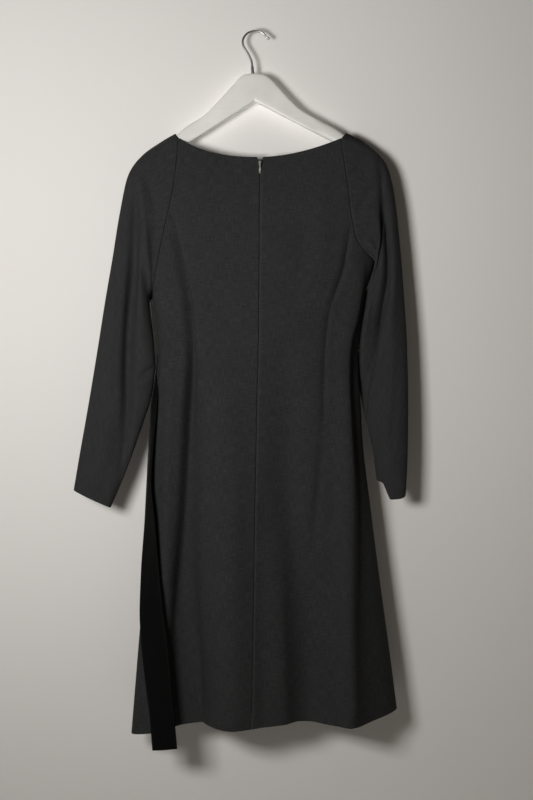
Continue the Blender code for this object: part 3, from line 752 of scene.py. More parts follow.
def ramp(tree, value, *stops):
    made = tree.nodes.new("ShaderNodeValToRGB")
    tree.links.new(value, made.inputs["Fac"])
    points = made.color_ramp.elements
    while len(points) < len(stops):
        points.new(0.5)
    for point, (place, colour) in zip(points, stops):
        point.position = place
        point.color = (*colour, 1.0)
    return made.outputs["Color"]


def point_value(tree, name):
    made = tree.nodes.new("ShaderNodeAttribute")
    made.attribute_name = name
    return made.outputs["Fac"]


def cloth_uv(tree):
    made = tree.nodes.new("ShaderNodeUVMap")
    made.uv_map = CLOTH_MAP
    return made.outputs["UV"]


def object_vector(tree):
    return tree.nodes.new("ShaderNodeTexCoord").outputs["Object"]


def new_group(name, outputs, **numbers):
    """An empty node group that takes a vector and some numbers and puts out values."""
    tree = bpy.data.node_groups.new(name, "ShaderNodeTree")
    tree.interface.new_socket("Vector", in_out="INPUT", socket_type="NodeSocketVector")
    for label, number in numbers.items():
        made = tree.interface.new_socket(label, in_out="INPUT", socket_type="NodeSocketFloat")
        made.default_value = number
    for label in outputs:
        tree.interface.new_socket(label, in_out="OUTPUT", socket_type="NodeSocketFloat")
    given = tree.nodes.new("NodeGroupInput").outputs
    return tree, given, tree.nodes.new("NodeGroupOutput").inputs


def use_group(tree, group, vector, **numbers):
    made = tree.nodes.new("ShaderNodeGroup")
    made.node_tree = group
    tree.links.new(vector, made.inputs["Vector"])
    for key, number in numbers.items():
        made.inputs[key].default_value = number
    return made.outputs


def weave_group():
    """Plain weave: where the sines of both thread counts agree the upright thread is on top.

    Height is the arch of the thread on top, from 0 in the gaps to 1 on its back.
    """
    tree, given, out = new_group("plain weave", ["Height"], Threads=WOOL_THREADS)
    split = tree.nodes.new("ShaderNodeSeparateXYZ")
    tree.links.new(given["Vector"], split.inputs[0])
    turns = math_node(tree, "MULTIPLY", given["Threads"], math.pi)
    across, along = (
        math_node(tree, "SINE", math_node(tree, "MULTIPLY", split.outputs[axis], turns))
        for axis in "XY"
    )
    upright = math_node(tree, "GREATER_THAN", math_node(tree, "MULTIPLY", across, along), 0.0)
    level = math_node(tree, "SUBTRACT", 1.0, upright)
    over = math_node(tree, "MULTIPLY", upright, math_node(tree, "ABSOLUTE", across))
    under = math_node(tree, "MULTIPLY", level, math_node(tree, "ABSOLUTE", along))
    tree.links.new(math_node(tree, "ADD", over, under), out["Height"])
    return tree


def fibre_group():
    """Mixed dyed fibres: streaks along both threads, fine specks and a broad mottle."""
    tree, given, out = new_group("mixed fibres", ["Streaks", "Specks", "Mottle"])
    vector = given["Vector"]
    upright = noise(tree, scaled(tree, vector, 1.0, 0.07, 1.0), 820.0)
    level = noise(tree, scaled(tree, vector, 0.07, 1.0, 1.0), 880.0)
    streaks = math_node(tree, "MULTIPLY", math_node(tree, "ADD", upright, level), 0.5)
    tree.links.new(streaks, out["Streaks"])
    tree.links.new(noise(tree, vector, 900.0, 3.0, 0.6), out["Specks"])
    tree.links.new(noise(tree, vector, 18.0, 3.0, 0.55), out["Mottle"])
    return tree


def brushed_group():
    """Fine scratches along Z, and the tone that they make with a cloudy tarnish."""
    tree, given, out = new_group("brushed metal", ["Tone", "Scratches"])
    brushed = noise(tree, scaled(tree, given["Vector"], 1.0, 1.0, 0.12), 2600.0)
    cloudy = noise(tree, given["Vector"], 160.0, 3.0)
    tree.links.new(mixed(tree, (brushed, 0.5), (cloudy, 0.5)), out["Tone"])
    tree.links.new(brushed, out["Scratches"])
    return tree


def plaster_group():
    """The unevenness of matt paint: fine specks and broad clouds."""
    tree, given, out = new_group("plaster mottle", ["Tone"])
    specks = noise(tree, given["Vector"], 900.0)
    broad = noise(tree, given["Vector"], 1.3)
    tree.links.new(mixed(tree, (specks, 0.3), (broad, 0.7)), out["Tone"])
    return tree


def wool_material(weave, fibres):
    """Heathered charcoal; painted shade darkens the dart and underarm seam lines, and a painted
    highlight lightens a strip beside the back's middle seam and the right armhole seam.
    """
    made, tree, shader = new_material(
        "charcoal wool",
        (0.034, 0.034, 0.035),
        Specular_IOR_Level=0.12,
        Sheen_Weight=0.02,
        Sheen_Roughness=0.5,
        Sheen_Tint=(0.6, 0.6, 0.6, 1.0),
    )
    vector = cloth_uv(tree)
    threads = use_group(tree, weave, vector, Threads=WOOL_THREADS)
    fibre = use_group(tree, fibres, vector)
    seam = point_value(tree, "seam_groove_and_shade")
    tone = mixed(
        tree,
        (map_range(tree, fibre["Streaks"], 0.35, 0.65, 0.0, 1.0), 0.62),
        (map_range(tree, fibre["Specks"], 0.30, 0.70, 0.0, 1.0), 0.38),
        (map_range(tree, fibre["Mottle"], 0.3, 0.7, -0.045, 0.045), 1.0),
        # painted shade: the dart and seam grooves darkened in the colour; the same value also cuts
        # the groove in the bump below
        (seam, -0.45),
        # painted highlight: a lighter strip in the colour beside the middle seam and the right
        # armhole seam
        (point_value(tree, "painted_seam_highlight"), 0.25),
    )
    colour = ramp(
        tree,
        tone,
        (0.0, (0.0135, 0.0139, 0.0145)),
        (0.5, (0.0245, 0.0253, 0.0263)),
        (1.0, (0.042, 0.0432, 0.045)),
    )
    height = mixed(
        tree,
        (threads["Height"], 0.18),
        (fibre["Specks"], 0.22),
        (fibre["Streaks"], 0.25),
        (seam, -1.4),
        (point_value(tree, "hem_ridge"), 0.25),
    )
    rough = map_range(tree, fibre["Specks"], 0.2, 0.8, 0.82, 0.98)
    finish_material(tree, shader, colour, rough, height, strength=0.6, distance=0.00035)
    return made


def velvet_material():
    """Black pile that lies a little unevenly, with a flattened line along each edge."""
    made, tree, shader = new_material(
        "black velvet",
        (0.003, 0.004, 0.0035),
        Specular_IOR_Level=0.08,
        Sheen_Weight=0.035,
        Sheen_Roughness=0.35,
        Sheen_Tint=(0.38, 0.46, 0.42, 1.0),
    )
    vector = cloth_uv(tree)
    pile = noise(tree, scaled(tree, vector, 1.0, 0.35, 1.0), 60.0, 3.0, 0.6)
    fine = noise(tree, vector, 1400.0, 2.0, 0.6)
    edge = point_value(tree, "edge_near")
    colour = ramp(
        tree,
        mixed(tree, (pile, 0.7), (fine, 0.3), (edge, 0.35)),
        (0.25, (0.0012, 0.0016, 0.0014)),
        (0.6, (0.0023, 0.0030, 0.0026)),
        (1.0, (0.0065, 0.0080, 0.0072)),
    )
    height = mixed(tree, (pile, 1.0), (fine, 0.15), (edge, -0.5))
    rough = map_range(tree, pile, 0.3, 0.7, 0.85, 1.0)
    finish_material(tree, shader, colour, rough, height, strength=0.6, distance=0.0009)
    return made


def tape_material(weave):
    made, tree, shader = new_material("zip tape", (0.018, 0.018, 0.019))
    vector = cloth_uv(tree)
    threads = use_group(tree, weave, scaled(tree, vector, 1.0, 0.6, 1.0), Threads=TAPE_THREADS)
    slub = noise(tree, vector, 500.0)
    tone = mixed(tree, (threads["Height"], 0.5), (slub, 0.5))
    colour = ramp(tree, tone, (0.1, (0.008, 0.008, 0.009)), (0.9, (0.028, 0.028, 0.030)))
    rough = map_range(tree, slub, 0.3, 0.7, 0.7, 0.9)
    finish_material(tree, shader, colour, rough, tone, strength=0.5, distance=0.0003)
    return made


def coil_material():
    made, tree, shader = new_material("zip coil", (0.018, 0.018, 0.019))
    speck = noise(tree, object_vector(tree), 1500.0)
    colour = ramp(tree, speck, (0.3, (0.012, 0.012, 0.013)), (0.7, (0.024, 0.024, 0.025)))
    finish_material(tree, shader, colour, map_range(tree, speck, 0.3, 0.7, 0.35, 0.5))
    return made


def metal_material(name, brushed, dark, light, rough, scratch):
    """Bare metal: the brushed marks move its tone and its roughness."""
    made, tree, shader = new_material(name, light, Metallic=1.0)
    marks = use_group(tree, brushed, object_vector(tree))
    colour = ramp(tree, marks["Tone"], (0.3, dark), (0.7, light))
    roughness = map_range(tree, marks["Tone"], 0.3, 0.7, rough, rough + 0.14)
    finish_material(
        tree, shader, colour, roughness, marks["Scratches"], strength=scratch, distance=0.0001
    )
    return made


def paint_material():
    """White paint on wood: grain telegraphs through as low ridges along the arms."""
    made, tree, shader = new_material(
        "white painted wood", (0.76, 0.75, 0.73), Coat_Weight=0.15, Coat_Roughness=0.25
    )
    vector = object_vector(tree)
    grain = noise(tree, scaled(tree, vector, 0.10, 1.0, 1.0), 420.0, 3.0, 0.6)
    cloud = noise(tree, vector, 22.0, 3.0)
    tone = mixed(tree, (grain, 0.35), (cloud, 0.65))
    colour = ramp(tree, tone, (0.25, (0.70, 0.69, 0.665)), (0.75, (0.80, 0.795, 0.775)))
    rough = map_range(tree, cloud, 0.3, 0.7, 0.34, 0.46)
    finish_material(tree, shader, colour, rough, grain, strength=0.25, distance=0.0003)
    return made


def plaster_material(name, plaster, colour, rough):
    """Matt paint, clear from behind and for lamps, so that it hides nothing on its far side."""
    made, tree, shader = new_material(name, (0.8, 0.8, 0.8), Roughness=rough)
    tone = use_group(tree, plaster, object_vector(tree))["Tone"]
    low = tuple(c * 0.97 for c in colour)
    high = tuple(c * 1.02 for c in colour)
    tree.links.new(ramp(tree, tone, (0.3, low), (0.7, high)), shader.inputs["Base Color"])
    clear = tree.nodes.new("ShaderNodeBsdfTransparent")
    mix = tree.nodes.new("ShaderNodeMixShader")
    facing = tree.nodes.new("ShaderNodeNewGeometry")
    ray = tree.nodes.new("ShaderNodeLightPath")
    surface = tree.nodes["Material Output"].inputs["Surface"]
    passes = math_node(
        tree, "MAXIMUM", facing.outputs["Backfacing"], ray.outputs["Is Shadow Ray"]
    )
    tree.links.new(passes, mix.inputs["Fac"])
    tree.links.new(shader.outputs["BSDF"], mix.inputs[1])
    tree.links.new(clear.outputs["BSDF"], mix.inputs[2])
    tree.links.new(mix.outputs["Shader"], surface)
    return made


# ---- the dress's body ----
def even_levels(first, last):
    """Levels at even lengths down the mean of the two side edges."""
    dense = np.linspace(first, last, DENSE_STEPS)
    edges = through_rows(EDGE_ROWS, dense)
    left = travelled(edges[:, None, 0:3], 0)[:, 0]
    right = travelled(edges[:, None, 3:6], 0)[:, 0]
    return evenly((left + right) / 2, dense)


def body_surface(levels, shares, side):
    """Points of the back (side -1) or the front (side +1).

    A level's section spans the two edges; its depth is the armhole's depth plus the rest of the
    stand-out times (1 - spread to the power "square") to the power 1/2. Folds add bells.
    """
    edges = through_rows(EDGE_ROWS, levels)
    left, right = edges[:, None, 0:3], edges[:, None, 3:6]
    sections = through_rows(SECTION_ROWS, levels)[:, None]
    armhole, back, front, square, centre, dip = (sections[..., k] for k in range(6))
    stand = back if side < 0 else front
    shares = shares[None]
    across = np.where(
        shares < 0,
        centre + (centre - left[..., 0]) * shares,
        centre + (right[..., 0] - centre) * shares,
    )
    part = (across - left[..., 0]) / (right[..., 0] - left[..., 0])
    spread = np.abs(2 * part - 1)
    round_off = np.clip(1 - spread**square, 0.0, 1.0) ** 0.5
    side_y = left[..., 1] + (right[..., 1] - left[..., 1]) * part
    depth = armhole + np.maximum(stand - armhole, 0.0) * round_off
    depth = depth - side * side_y * round_off
    height = left[..., 2] + (right[..., 2] - left[..., 2]) * part
    neck_power = np.where(part < 0.5, NECK_POWERS[0], NECK_POWERS[1])
    height = height - NECK_DROP * dip * (1 - spread**neck_power)
    for start_x, start_z, hem_x, width, stand_out in BACK_FOLDS if side < 0 else FRONT_FOLDS:
        run = np.clip((start_z - height) / (start_z - FOLDS_END), 0.0, 1.0)
        line = start_x + (hem_x - start_x) * run
        depth = depth + stand_out * ease(run * FOLD_REACH) * bell(across - line, width)
    if side < 0:
        lift = through_rows(BACK_HEM_LIFT, part.reshape(-1)).reshape(part.shape)
        start, end = HEM_LIFT_LEVELS
        height = height + lift * ease((levels[:, None] - start) / (end - start))
    return np.stack([across, side_y + side * depth, height], axis=-1)


def half_shares():
    """Shares from a side seam to the middle, closer at both, with a few more beside each."""
    even = np.linspace(0.0, 1.0, BACK_COLUMNS + 1)
    crowded = 0.6 * even + 0.4 * (1 - np.cos(even * math.pi / 2))
    near_seam = np.array(NEAR_SEAM_SHARES)
    return np.unique(np.concatenate([crowded, near_seam, 1 - near_seam]))


def near_dart(x, z):
    """Closeness to a dart's line, 1 on it and 0 a stitch away, faded in at its ends."""
    near = np.zeros(x.shape)
    for dart in (LEFT_DART, RIGHT_DART):
        path = round_path(dart)
        off, place = along_path(x, z, path)
        to_end = len(path) - 1 - place
        fade = ease(place / (0.12 * len(path))) * ease(to_end / (0.25 * len(path)))
        near = np.maximum(near, np.clip(1 - np.abs(off) / STITCH_REACH, 0.0, 1.0) * fade)
    return near


def add_creases(grid, normal, creases, side):
    """Moves points along their normals; creases fade where the cloth turns edge-on."""
    facing = ease((side * normal[..., 1] - 0.05) / 0.5)
    height = crease_heights(grid[..., 0], grid[..., 2], creases)
    return grid + normal * (height * facing)[..., None]


def panel_normals(grid, side):
    """Normals of the back (side -1) or the front (side +1), away from the wearer."""
    normal = grid_normals(grid, False)
    return normal * np.sign(side * normal[:, grid.shape[1] // 2, 1])[:, None, None]


def creased_panel(levels, shares, creases, side):
    """The back or the front with its creases, held still at the side seams."""
    grid = body_surface(levels, shares, side)
    order = np.arange(len(shares))
    held = np.minimum(order, order[::-1])[None, :]
    moved = add_creases(grid, panel_normals(grid, side), creases, side)
    grid = grid + (moved - grid) * ease(held / SEAM_HOLD)[..., None]
    return grid, panel_normals(grid, side)


def sew_gap(grid, column, neighbour):
    """Moves one edge column of a grid towards the next column by half a seam's gap."""
    way = unit(grid[:, neighbour] - grid[:, column])
    grid[:, column] = grid[:, column] + way * (SEAM_GAP / 2)


def cloth_sides(points, normal, to_free, to_seam):
    """Both faces of a wall: thinned in a quarter round at a free edge, rolled in at a seam."""
    half = CLOTH_WALL / 2 * (EDGE_THIN + (1 - EDGE_THIN) * round_share(to_free, EDGE_ROUND))
    roll = SEAM_ROLL_DEPTH * (1 - round_share(to_seam, SEAM_ROLL))
    return points + normal * (half - roll)[..., None], points - normal * half[..., None]


def body_piece(name, grid, normal, look, darts, centre):
    """A cloth panel with free edges at neck and hem and sewn sides.

    Its map starts at the garment's own middle, which the panel has at its left, its right or
    half way. A panel with that middle at its left gets a painted highlight, a lighter strip in
    its colour, beside that seam; darts, where a panel has them, get painted shade along their
    lines.
    """
    down = travelled(grid, 0)
    across = travelled(grid, 1)
    from_hem = down[-1:] - down
    to_seam = np.minimum(across, across[:, -1:] - across)
    outer, inner = cloth_sides(grid, normal, np.minimum(down, from_hem), to_seam)
    start = {"left": 0, "right": grid.shape[1] - 1, "middle": grid.shape[1] // 2}[centre]
    u = across - across[:, start : start + 1]
    v = grid[..., 2].max() - grid[..., 2]
    # Painted highlight: only the right back panel gets a lighter strip in its colour beside its
    # left seam, the edge that faces the lamp.
    highlight_on_left_seam = 1.0 if centre == "left" else 0.0
    # The first value marks a dart's groove: a bump, and painted shade darkening its colour.
    values = {
        "seam_groove_and_shade": near_dart(grid[..., 0], grid[..., 2]) if darts else np.zeros(down.shape),
        "painted_seam_highlight": highlight_on_left_seam * bell(across - HIGHLIGHT_PLACE, HIGHLIGHT_WIDTH),
        "hem_ridge": bell(from_hem - HEM_TURN, TURN_WIDTH),
    }
    return wall_mesh(name, outer, inner, look, np.stack([u, -v], axis=-1), values)


# ---- sleeves ----
def sleeve_ring(rows, rings, places):
    """Points on the sleeve's plain oval; the sign of a place tells back (+) from front (-)."""
    values = through_rows(rows, rings)[:, None, :]
    outer, inner = values[..., 0:3], values[..., 3:6]
    turn = np.abs(places) * math.pi
    along = ((1 - np.cos(turn)) / 2)[..., None]
    points = outer + (inner - outer) * along
    swell = np.sin(np.clip(turn, 0.0, math.pi)) ** OVAL_SWELL
    depth = np.where(places >= 0, -values[..., 6], values[..., 7])
    points[..., 1] += depth * swell
    return points


def even_rings(rows):
    """Rings at even lengths along the mean of the outer and the inner line."""
    dense = np.linspace(0.0, rows[-1][0], DENSE_STEPS)
    lines = through_rows(rows, dense)
    length = travelled(((lines[:, 0:3] + lines[:, 3:6]) / 2)[:, None], 0)[:, 0]
    return np.unique(np.concatenate([evenly(length, dense), NEAR_ARMHOLE, NEAR_CUFF]))


def sleeve_grid(rows, bends, back_seam, front_seam, cuff_drop):
    """Rings from the armhole to the cuff. The first one lies on the armhole seams."""
    count = len(back_seam)
    start = np.array(rows[0][1:4], float)
    end = np.array(rows[0][4:7], float)
    chord = end - start
    seam = np.concatenate([start[None], back_seam, front_seam[-2::-1]])
    along = ((seam - start) @ chord) / (chord @ chord)
    on_seam = np.arccos(np.clip(1 - 2 * along, -1.0, 1.0)) / math.pi
    even = np.concatenate([np.arange(count + 1) / count, np.arange(count - 1, 0, -1) / count])
    sign = np.concatenate([np.ones(count + 1), -np.ones(count - 1)])
    rings = even_rings(rows)
    settle = ease(rings / SETTLE_RINGS)[:, None]
    places = on_seam[None] + (even - on_seam)[None] * settle
    points = sleeve_ring(rows, rings, places * sign)
    rest = seam[None] - points[:1]
    points = points + rest * (1 - ease(rings / REST_RINGS))[:, None, None]
    for side, first, from_place, last, to_place, width, stand_out in bends:
        run = np.clip((rings - first) / (last - first), 0.0, 1.0)
        line = from_place + (to_place - from_place) * run
        swell = np.sin(run * math.pi) ** BEND_SWELL
        bump = stand_out * swell[:, None] * bell(places - line[:, None], width)
        points[..., 1] -= side * np.where(sign[None] == side, bump, 0.0)
    rise = places / CUFF_DROP_PLACE
    fall = (CUFF_DROP_END - places) / (CUFF_DROP_END - CUFF_DROP_PLACE)
    near = np.where(sign > 0, np.clip(np.minimum(rise, fall), 0.0, 1.0), 0.0)
    first, last = CUFF_DROP_RINGS
    points[..., 2] -= cuff_drop * near * ease((rings - first) / (last - first))[:, None]
    return points, rings


def smooth_around(grid, times):
    """Softens a wrapped grid between its rings' neighbours, the first ring held."""
    for _ in range(times):
        middle = (np.roll(grid, 1, axis=1) + np.roll(grid, -1, axis=1)) / 2
        grid[1:] = grid[1:] * 0.5 + middle[1:] * 0.5
    return grid


def outward(points, heart):
    """Normals of a wrapped grid, away from its rings' middles."""
    normal = grid_normals(points, True)
    return normal * np.sign(((points - heart) * normal).sum(axis=-1).mean())


def build_sleeve(name, look, tables, cuff_drop, painted_highlight, seams, seam_normals):
    """One sleeve. Its first ring and the body's armhole edges share points and normals."""
    rows, bends, creases = tables
    points, rings = sleeve_grid(rows, bends, *seams, cuff_drop)
    heart = points.mean(axis=1, keepdims=True)
    normal = outward(points, heart)
    loose = ease(travelled(points, 0) / ARMHOLE_HOLD)[..., None]
    for side, table in ((-1, creases), (1, SLEEVE_FRONT_CREASES)):
        moved = add_creases(points, normal, table, side)
        points = points + (moved - points) * loose
    slack = ease(rings / SMOOTH_RINGS)[:, None, None]
    points = points + (smooth_around(points.copy(), 2) - points) * slack
    normal = outward(points, heart)
    back_normal, front_normal = seam_normals
    count = len(back_normal)
    body_side = np.concatenate([back_normal, front_normal[-2::-1]])
    shared = unit(normal[0, 1:] + body_side)
    normal[0, 1:] = shared
    back_normal[:] = shared[:count]
    front_normal[:-1] = shared[count:][::-1]
    front_normal[-1] = shared[count - 1]
    points[0, 1:] += unit(points[1, 1:] - points[0, 1:]) * SEAM_GAP
    down = travelled(points, 0)
    to_cuff = down[-1:] - down
    outer, inner = cloth_sides(points, normal, to_cuff, down)
    around = travelled(np.concatenate([points, points[:, :1]], axis=1), 1)
    mean_round = around[:, -1].mean()
    uv = np.stack([around[:, :-1] / around[:, -1:] * mean_round, -down], axis=-1)
    # The underarm seam's groove: a bump, and painted shade darkening its colour.
    seam_line = np.zeros(points.shape[:2])
    seam_line[:, points.shape[1] // 2] = 1.0
    values = {
        "seam_groove_and_shade": seam_line,
        # painted highlight: a lighter strip along the armhole seam, on the right sleeve only
        "painted_seam_highlight": painted_highlight * bell(down - SLEEVE_HIGHLIGHT_PLACE, HIGHLIGHT_WIDTH),
        "hem_ridge": bell(to_cuff - CUFF_TURN, TURN_WIDTH),
    }
    return wall_mesh(name, outer, inner, look, uv, values, mean_round)


def build_cloth(wool):
    """The five wool pieces by name, and the back's levels, points and normals for the zip."""
    arm = np.unique(np.concatenate([NEAR_ARMHOLE, even_levels(0.0, UNDERARM_LEVEL)]))
    lower = even_levels(UNDERARM_LEVEL, HEM_LEVEL)[1:]
    levels = np.concatenate([arm, np.unique(np.concatenate([lower, NEAR_HEM]))])
    to_middle = half_shares()
    shares = np.concatenate([to_middle - 1, (1 - to_middle[::-1])[1:]])
    middle = len(to_middle) - 1
    back, back_normal = creased_panel(levels, shares, BACK_CREASES, -1)
    front, front_normal = creased_panel(levels, shares, FRONT_CREASES, 1)
    count = len(arm)
    for column in (0, -1):
        shared = unit(back_normal[count - 1 :, column] + front_normal[count - 1 :, column])
        back_normal[count - 1 :, column] = shared
        front_normal[count - 1 :, column] = shared
    left_tables = (LEFT_SLEEVE_ROWS, LEFT_SLEEVE_BENDS, LEFT_SLEEVE_CREASES)
    right_tables = (RIGHT_SLEEVE_ROWS, RIGHT_SLEEVE_BENDS, RIGHT_SLEEVE_CREASES)
    made = {}
    for name, tables, column, cuff_drop, painted_highlight in (
        ("sleeve_left_cloth", left_tables, 0, 0.0, 0.0),
        ("sleeve_right_cloth", right_tables, -1, RIGHT_CUFF_DROP, RIGHT_SLEEVE_PAINTED_HIGHLIGHT),
    ):
        seams = [grid[:count, column] for grid in (back, front)]
        seam_normals = [grid[:count, column] for grid in (back_normal, front_normal)]
        made[name] = build_sleeve(name, wool, tables, cuff_drop, painted_highlight, seams, seam_normals)
    for grid in (back, front):
        sew_gap(grid, 0, 1)
        sew_gap(grid, -1, -2)
    left, right = back[:, : middle + 1].copy(), back[:, middle:].copy()
    sew_gap(left, -1, -2)
    sew_gap(right, 0, 1)
    opening = NOTCH_WIDTH / 2 * np.clip(1 - levels / NOTCH_LEVEL, 0.0, 1.0)[:, None]
    from_left = travelled(left, 1)
    for grid, sign, distance in (
        (left, -1, from_left[:, -1:] - from_left),
        (right, 1, travelled(right, 1)),
    ):
        grid[..., 0] += sign * opening * np.clip(1 - distance / NOTCH_REACH, 0.0, 1.0)
    for name, grid, normal, darts, centre in (
        ("back_left_cloth", left, back_normal[:, : middle + 1], True, "right"),
        ("back_right_cloth", right, back_normal[:, middle:], True, "left"),
        ("front_cloth", front, front_normal, False, "middle"),
    ):
        made[name] = body_piece(name, grid, normal, wool, darts, centre)
    return made, levels, back, back_normal, middle


# ---- sash ----
def viewer_normals(grid):
    """Normals of an open grid that point to its -Y side."""
    normal = grid_normals(grid, False)
    return -normal if normal[..., 1].mean() > 0 else normal


def build_sash(velvet):
    """Edge lines through the table's rows; across them the velvet bows and ripples a little."""
    last = len(SASH_ROWS) - 1.0
    order = np.linspace(0.0, last, SASH_RINGS)
    values = through_rows(np.column_stack([np.arange(len(SASH_ROWS)), SASH_ROWS]), order)
    outer, inner = values[:, [1, 2, 0]], values[:, [3, 4, 0]]
    share = np.unique(np.concatenate([np.linspace(0, 1, 21), [0.015, 0.03, 0.97, 0.985]]))
    grid = outer[:, None] + (inner - outer)[:, None] * share[None, :, None]
    slant = ease((order - (last - 2.0)) / 2.0)[:, None]
    grid[..., 2] += SASH_HEM_SLANT * slant * share[None]
    run = (order / last)[:, None]
    arch = np.sin(share * math.pi)[None]
    bow = arch * (SASH_BOW * ease(run * 3) + SASH_WAVE * np.sin(run * 9.0))
    ripple = SASH_RIPPLE * np.sin(run * 31.0 + share[None] * 5.0) * ease(run * 2)
    grid = grid + viewer_normals(grid) * (bow + ripple * arch)[..., None]
    normal = viewer_normals(grid)
    down, across = travelled(grid, 0), travelled(grid, 1)
    to_side = np.minimum(across, across[:, -1:] - across)
    edge = np.minimum(np.minimum(down, down[-1:] - down), to_side)
    half = (SASH_WALL / 2 * (0.25 + 0.75 * round_share(edge, SASH_EDGE_ROUND)))[..., None]
    uv = np.stack([across, -down], axis=-1)
    values = {"edge_near": bell(to_side - SASH_PRESS_PLACE, SASH_PRESS_WIDTH)}
    return wall_mesh("sash_velvet", grid + normal * half, grid - normal * half, velvet, uv, values)


# ---- zip ----
def build_zip(levels, back, back_normal, middle, tape, coil):
    """A tape strip behind the centre seam and a coil: a flat spiral along its middle."""
    rows = (levels >= NOTCH_LEVEL) & (levels <= ZIP_LAST_LEVEL)
    strip = back[rows]
    line = strip[:, middle]
    line_normal = back_normal[rows, middle]
    half = np.array(ZIP_TAPE_COLUMNS)
    distances = np.concatenate([-half[::-1], half])
    columns = []
    for distance in distances:
        at = line[:, 0] + distance
        depth, height = (
            np.array([np.interp(x, row[:, 0], row[:, axis]) for x, row in zip(at, strip)])
            for axis in (1, 2)
        )
        columns.append(np.column_stack([at, depth, height]))
    grid = np.stack(columns, axis=1)
    normal = np.broadcast_to(line_normal[:, None], grid.shape)
    near = grid - normal * (CLOTH_WALL / 2 + ZIP_SEAT)
    thick = np.full(len(distances), ZIP_TAPE_WALL)
    thick[[0, -1]] = ZIP_TAPE_EDGE
    far = near - normal * thick[None, :, None]
    across = np.broadcast_to(distances[None], grid.shape[:2])
    uv = np.stack([across, -travelled(grid, 0)], axis=-1)
    tapes = wall_mesh("zip_tapes", near, far, tape, uv, {})
    length = travelled(line[:, None], 0)[:, 0]
    steps = int(length[-1] / COIL_PITCH) * COIL_STEPS
    at = np.linspace(1.0, length[-1] - 1.0, steps + 1)
    centre, out = (
        np.column_stack([np.interp(at, length, column) for column in table.T])
        for table in (line, line_normal)
    )
    out = unit(out)
    turn = (np.arange(steps + 1) * 2 * math.pi / COIL_STEPS)[:, None]
    path = centre - out * (CLOTH_WALL / 2 + ZIP_SEAT + ZIP_TAPE_WALL + COIL_LIFT)
    path = path + np.array([1.0, 0.0, 0.0]) * (COIL_HALF_WIDTH - COIL_WIRE) * np.cos(turn)
    path = path + out * COIL_HALF_DEPTH * np.sin(turn)
    way = unit(np.gradient(path, axis=0))
    first = unit(np.cross(way, out))
    second = np.cross(way, first)
    angle = (np.arange(4) * math.pi / 2)[None, :, None]
    rings = (
        path[:, None]
        + first[:, None] * (COIL_WIRE * np.cos(angle))
        + second[:, None] * (COIL_WIRE * np.sin(angle))
    )
    return tapes, tube_mesh("zip_coil", rings, coil)


# ---- hanger ----
def build_arms(paint):
    """Sections |cos|^p, |sin|^p along the arms, closed by quarter-round ends.

    The power p makes them flat-faced at the middle and oval inside the sleeves.
    """
    rows = np.array(HANGER_ROWS)
    at = np.linspace(rows[0, 0], rows[-1, 0], HANGER_RINGS)
    values = through_rows(rows, at)
    angle = (np.arange(HANGER_SIDES) + 0.5) * 2 * math.pi / HANGER_SIDES
    wave = np.stack([np.cos(angle), np.sin(angle)])[:, None]
    start, end = OVAL_REACH
    power = FLAT_POWER + (OVAL_POWER - FLAT_POWER) * ease((np.abs(at) - start) / (end - start))
    shape = np.sign(wave) * np.abs(wave) ** power[None, :, None]
    middle = (values[:, 0] + values[:, 1]) / 2
    reach = (values[:, 0] - values[:, 1]) / 2
    rings = np.empty((len(at), HANGER_SIDES, 3))
    rings[..., 0] = at[:, None]
    rings[..., 1] = values[:, 2, None] * shape[0]
    rings[..., 2] = middle[:, None] + reach[:, None] * shape[1]
    caps = []
    for ring, sign in ((rings[0], -1), (rings[-1], 1)):
        heart = ring.mean(axis=0)
        for turn in CAP_TURNS:
            smaller = heart + (ring - heart) * math.cos(turn)
            smaller[:, 0] = ring[:, 0] - sign * HANGER_END * (1 - math.sin(turn))
            caps.append(smaller)
    rings[0, :, 0] += HANGER_END
    rings[-1, :, 0] -= HANGER_END
    count = len(CAP_TURNS)
    rings = np.concatenate([caps[:count][::-1], rings, caps[count:]])
    return tube_mesh("hanger_arms", rings, paint)


def build_hook(chrome):
    """A wire along a smooth path, thicker in its sleeve, with a small bead at its tip."""
    path = smooth_path(HOOK_ROWS, np.linspace(0.0, len(HOOK_ROWS) - 1.0, HOOK_RINGS))
    way = unit(np.gradient(path, axis=0))
    across = np.stack([-way[:, 1], way[:, 0]], axis=-1)
    around = np.arange(HOOK_SIDES) * 2 * math.pi / HOOK_SIDES
    length = travelled(path[:, None], 0)[:, 0]
    thin = ease((length - FERRULE_LENGTH + 0.6) / 1.2)
    radius = HOOK_WIRE + (FERRULE_RADIUS - HOOK_WIRE) * (1 - thin)
    radius = radius - FERRULE_GROOVE * bell(length - 2.0, 0.5)
    tip = (length[-1] - length) / HOOK_WIRE
    radius = radius + HOOK_BEAD * bell(tip - 1.3, 0.8)
    radius = (radius * np.maximum(round_share(tip, 1.2), 0.12))[:, None]
    swing = np.cos(around)[None] * radius
    rings = np.empty((len(path), HOOK_SIDES, 3))
    rings[..., 0] = path[:, 0, None] + across[:, 0, None] * swing
    rings[..., 1] = np.sin(around)[None] * radius
    rings[..., 2] = path[:, 1, None] + across[:, 1, None] * swing
    return tube_mesh("hook_wire", rings, chrome)


# ---- wall, floor, lights, camera ----
def flat_sheet(name, corners, look):
    mesh = bpy.data.meshes.new(name)
    mesh.from_pydata(corners, [], [(0, 1, 2, 3)])
    mesh.update()
    mesh.materials.append(look)
    made = bpy.data.objects.new(name, mesh)
    bpy.context.scene.collection.objects.link(made)


def area_light(name, place, target, size, power, colour):
    lamp = bpy.data.lights.new(name, "AREA")
    lamp.size = size
    lamp.energy = power
    lamp.color = colour
    made = bpy.data.objects.new(name, lamp)
    made.location = place
    made.rotation_euler = (Vector(target) - Vector(place)).to_track_quat("-Z", "Y").to_euler()
    bpy.context.scene.collection.objects.link(made)


